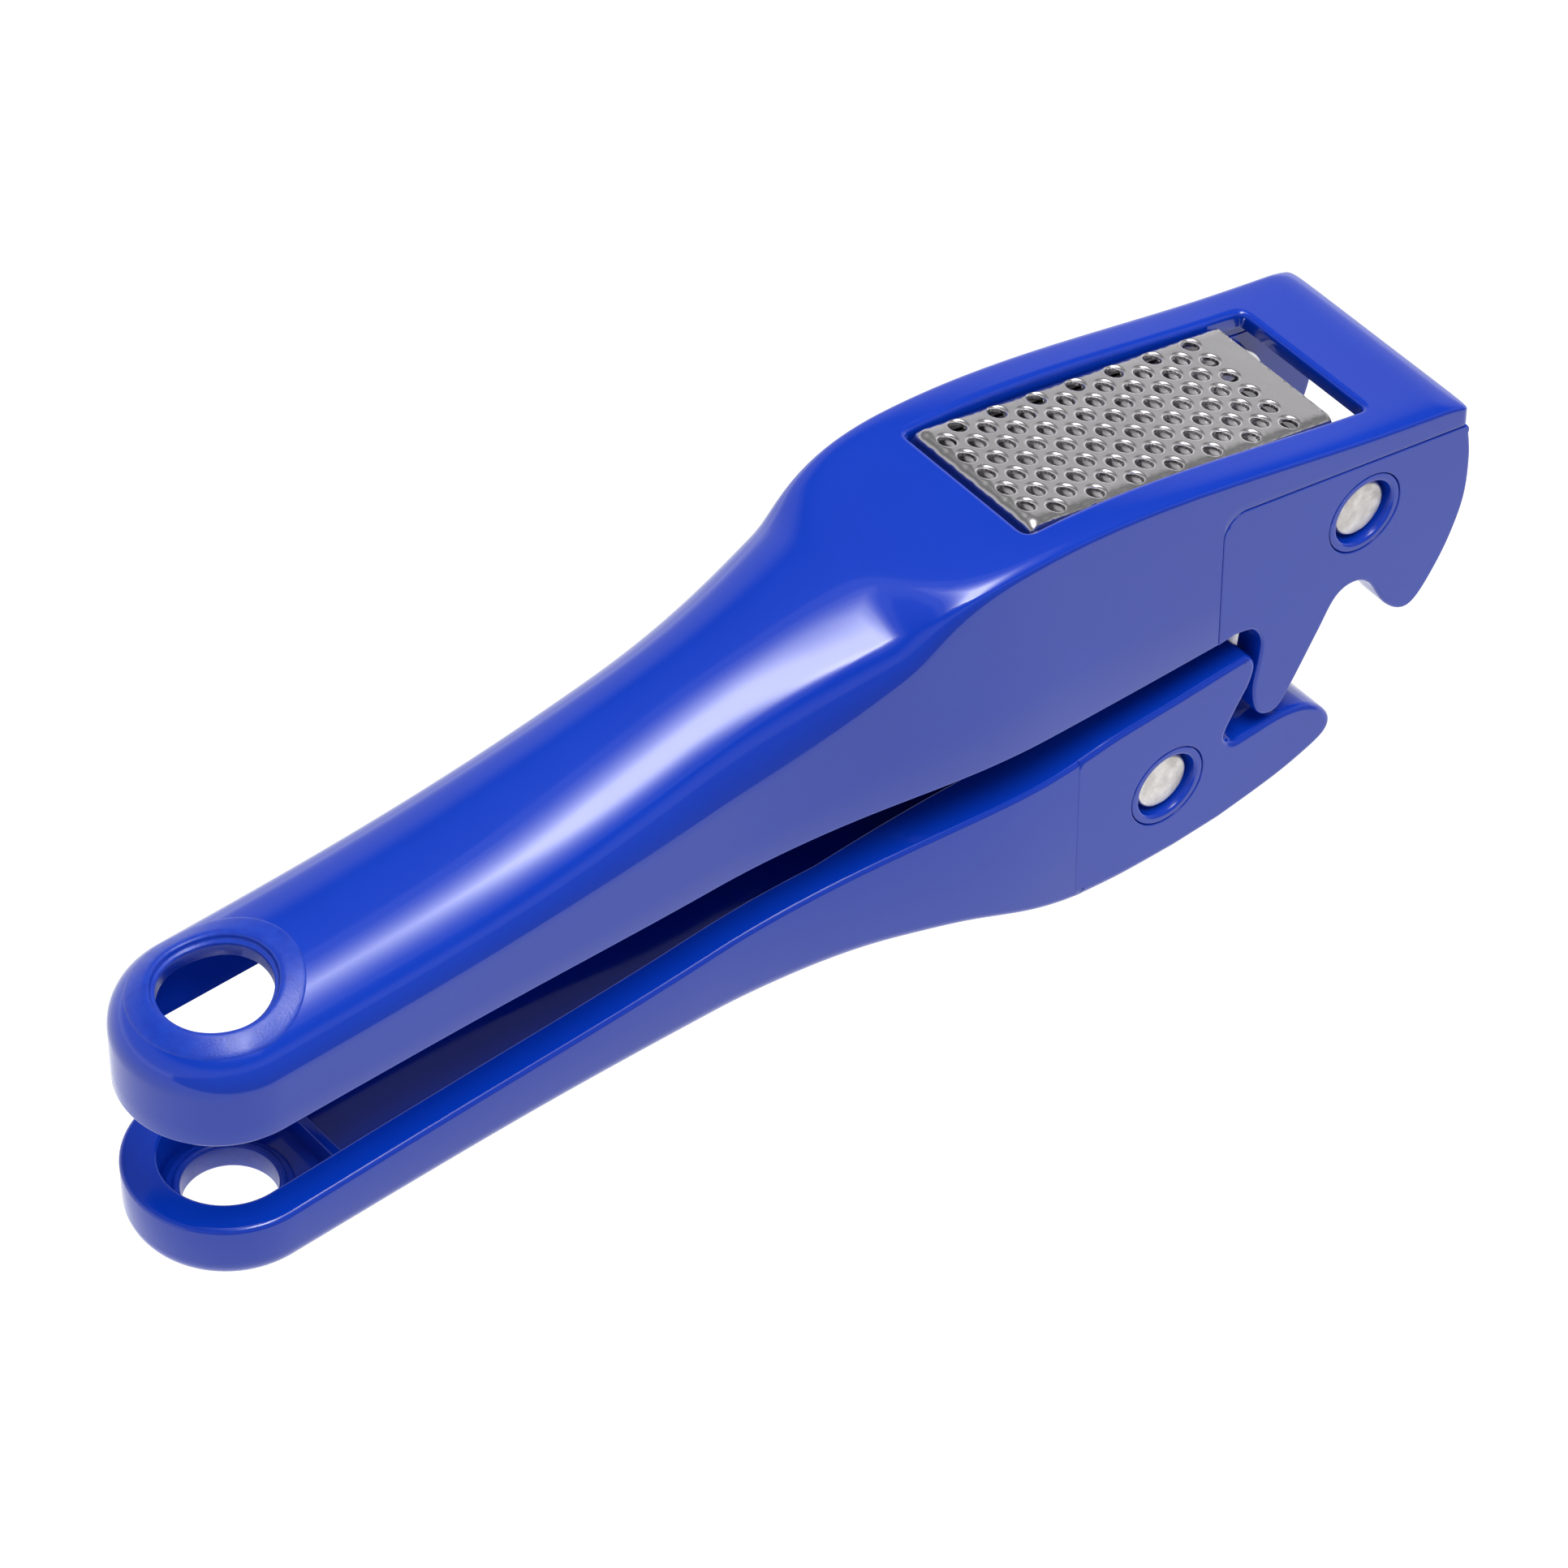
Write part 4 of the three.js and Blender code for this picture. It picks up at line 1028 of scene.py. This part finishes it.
# ------------------------------------------------------------------ kept CAD nodes

def paint_kept_nodes():
    """Gives the CAD nodes that are still shown their procedural materials."""
    slots = {part["node"]: part["material_slot"] for part in frame["record"]["subparts"]}
    for name, node in frame["nodes"].items():
        if node.hide_render:
            continue
        for material_slot in node.material_slots:
            material_slot.material = LOOKS[slots[name]]


# ------------------------------------------------------------------ stage, light and camera

def see_through_from_below(material, shader):
    """Lets the underside of the press be seen past the floor."""
    tree = material.node_tree
    geometry = tree.nodes.new("ShaderNodeNewGeometry")
    clear = tree.nodes.new("ShaderNodeBsdfTransparent")
    choose = tree.nodes.new("ShaderNodeMixShader")
    tree.links.new(geometry.outputs["Backfacing"], choose.inputs["Fac"])
    tree.links.new(shader.outputs["BSDF"], choose.inputs[1])
    tree.links.new(clear.outputs["BSDF"], choose.inputs[2])
    tree.links.new(choose.outputs["Shader"], tree.nodes["Material Output"].inputs["Surface"])


FLOOR_Z = -0.17                    # in metres; clear of the lower handle when it hangs wide open
FLOOR_REACH, FLOOR_GLOW = 6.0, 1.05
CARD_REACH, CARD_Y, CARD_TOP, CARD_GLOW = 1.6, -0.32, 0.15, 0.3
ROOM_LEVELS = [(0.0, 1.5), (0.17, 0.75), (0.48, 0.62), (0.62, 0.15), (1.0, 0.45)]


def glowing_sheet(name, corners, color, roughness, glow):
    """A four-cornered stage sheet that gives off an even white light."""
    mesh = bpy.data.meshes.new(name)
    mesh.from_pydata(corners, [], [(0, 1, 2, 3)])
    sheet = bpy.data.objects.new(name, mesh)
    bpy.context.scene.collection.objects.link(sheet)
    material, shader = new_material(name, color, roughness=roughness)
    shader.inputs["Emission Color"].default_value = (1, 1, 1, 1)
    shader.inputs["Emission Strength"].default_value = glow
    sheet.data.materials.append(material)
    return sheet, material, shader


def white_floor():
    """A plain white floor that fills the view and is clear from beneath."""
    reach = FLOOR_REACH
    corners = [(-reach, -reach, 0), (reach, -reach, 0), (reach, reach, 0), (-reach, reach, 0)]
    floor, material, shader = glowing_sheet("floor", corners, (0.12, 0.12, 0.12), 0.9, FLOOR_GLOW)
    floor.location.z = FLOOR_Z
    shader.inputs["Specular IOR Level"].default_value = 0.0
    see_through_from_below(material, shader)


def dim_card():
    """A grey card along the near side, seen only as a reflection, that stands for the dim room."""
    reach = CARD_REACH
    corners = [(-reach, CARD_Y, FLOOR_Z), (reach, CARD_Y, FLOOR_Z)]
    corners += [(reach, CARD_Y, CARD_TOP), (-reach, CARD_Y, CARD_TOP)]
    card, _, _ = glowing_sheet("dim_card", corners, (0.02, 0.02, 0.02), 1.0, CARD_GLOW)
    card.visible_camera = False
    card.visible_shadow = False


def room():
    """A dim room with a bright horizon, as grey levels from the horizon (0) to overhead (1)."""
    world = bpy.data.worlds.new("room")
    world.use_nodes = True
    bpy.context.scene.world = world
    nodes, links = world.node_tree.nodes, world.node_tree.links
    place = nodes.new("ShaderNodeTexCoord")
    split = nodes.new("ShaderNodeSeparateXYZ")
    ramp = nodes.new("ShaderNodeValToRGB")
    stops = ramp.color_ramp.elements
    for number, (height, level) in enumerate(ROOM_LEVELS):
        stop = stops[number] if number < 2 else stops.new(height)
        stop.position = height
        stop.color = (level, level, level, 1)
    links.new(place.outputs["Generated"], split.inputs["Vector"])
    links.new(split.outputs["Z"], ramp.inputs["Fac"])
    links.new(ramp.outputs["Color"], nodes["Background"].inputs["Color"])
    nodes["Background"].inputs["Strength"].default_value = 1.0


STRIP_AXIS = Vector((0.38, 0.92, 0))
SOFTBOX_LAYERS = 10
SOFTBOX_WIDE, SOFTBOX_NARROW = (0.80, 1.35), (0.12, 0.55)       # width and length, in metres
SOFTBOX_WIDE_FROM, SOFTBOX_NARROW_FROM = (0.02, -0.15, 1.0), (-0.04, -0.31, 1.0)
SOFTBOX_EDGE_RADIANCE, SOFTBOX_CORE_RADIANCE = 0.4, 3.3
SOFTBOX_DISTANCE, SOFTBOX_LAYER_GAP = 1.0, 0.005


def softbox(name, direction, distance, size, radiance, target):
    """A rectangular area light that faces the press; its long side lies along STRIP_AXIS."""
    light = bpy.data.lights.new(name, "AREA")
    light.shape = "RECTANGLE"
    light.size, light.size_y = size
    light.energy = radiance * math.pi * size[0] * size[1]
    lamp = bpy.data.objects.new(name, light)
    away = Vector(direction).normalized()
    across = STRIP_AXIS.cross(away).normalized()
    turn = Matrix((across, away.cross(across), away)).transposed().to_4x4()
    lamp.matrix_world = Matrix.Translation(target + away * distance) @ turn
    bpy.context.scene.collection.objects.link(lamp)
    return lamp


def lights():
    """One overhead strip softbox, built up in layers so its edges fade."""
    low, high = cad_bounds
    target = (low + high) / 2
    for number in range(SOFTBOX_LAYERS):
        share = number / (SOFTBOX_LAYERS - 1)
        size = [mix(wide, narrow, math.sqrt(share)) for wide, narrow in zip(SOFTBOX_WIDE, SOFTBOX_NARROW)]
        radiance = mix(SOFTBOX_EDGE_RADIANCE, SOFTBOX_CORE_RADIANCE, share)
        direction = [mix(a, b, share) for a, b in zip(SOFTBOX_WIDE_FROM, SOFTBOX_NARROW_FROM)]
        distance = SOFTBOX_DISTANCE + SOFTBOX_LAYER_GAP * number
        softbox(f"softbox_{number}", direction, distance, size, radiance, target)


CAMERA_FROM_UPPER_PIN = Vector((-0.5547, -0.5272, 0.6045))
VIEW_RIGHT = Vector((0.7778, -0.6253, 0.0639))
VIEW_UP = Vector((0.3768, 0.5453, 0.7488))
SENSOR_WIDTH, LENS = 36, 173.67
NEAREST, FARTHEST = 0.05, 20


def camera():
    """A long lens that looks down on the press from the tail's end of its near side."""
    data = bpy.data.cameras.new("camera")
    data.sensor_width = SENSOR_WIDTH
    data.lens = LENS
    data.clip_start, data.clip_end = NEAREST, FARTHEST
    eye = bpy.data.objects.new("camera", data)
    right = VIEW_RIGHT.normalized()
    up = (VIEW_UP - right * VIEW_UP.dot(right)).normalized()
    back = right.cross(up)
    turn = Matrix((right, up, back)).transposed().to_4x4()
    eye.matrix_world = Matrix.Translation(UPPER_PIN + CAMERA_FROM_UPPER_PIN) @ turn
    bpy.context.scene.collection.objects.link(eye)
    bpy.context.scene.camera = eye
    bpy.context.scene.view_settings.view_transform = "Standard"
    bpy.context.scene.view_settings.look = "None"


camera()
white_floor()
dim_card()
room()
lights()

upper_handle()
upper_hang_pad()
lower_handle()
lower_rib()
lower_hang_collar()
lower_head()
sieve()
hopper_sides()
pin((0, 0), "upper_handle", "upper_pin", "upper_pin_fine")
pin(LOWER_PIVOT, "plunger_arm", "lower_pin", "lower_pin_fine")
for side, word in ((-1, "right"), (1, "left")):
    upper_cheek(side, word)
    bush(side, HEAD_CAVITY_HALF_WIDTH, (0, 0), "upper_handle",
         f"upper_pin_bush_{word}", f"upper_bush_{word}")
    bush(side, LOWER_CHEEK_INNER, LOWER_PIVOT, "lower_handle",
         f"lower_pin_bush_{word}", f"lower_bush_{word}")
paint_kept_nodes()
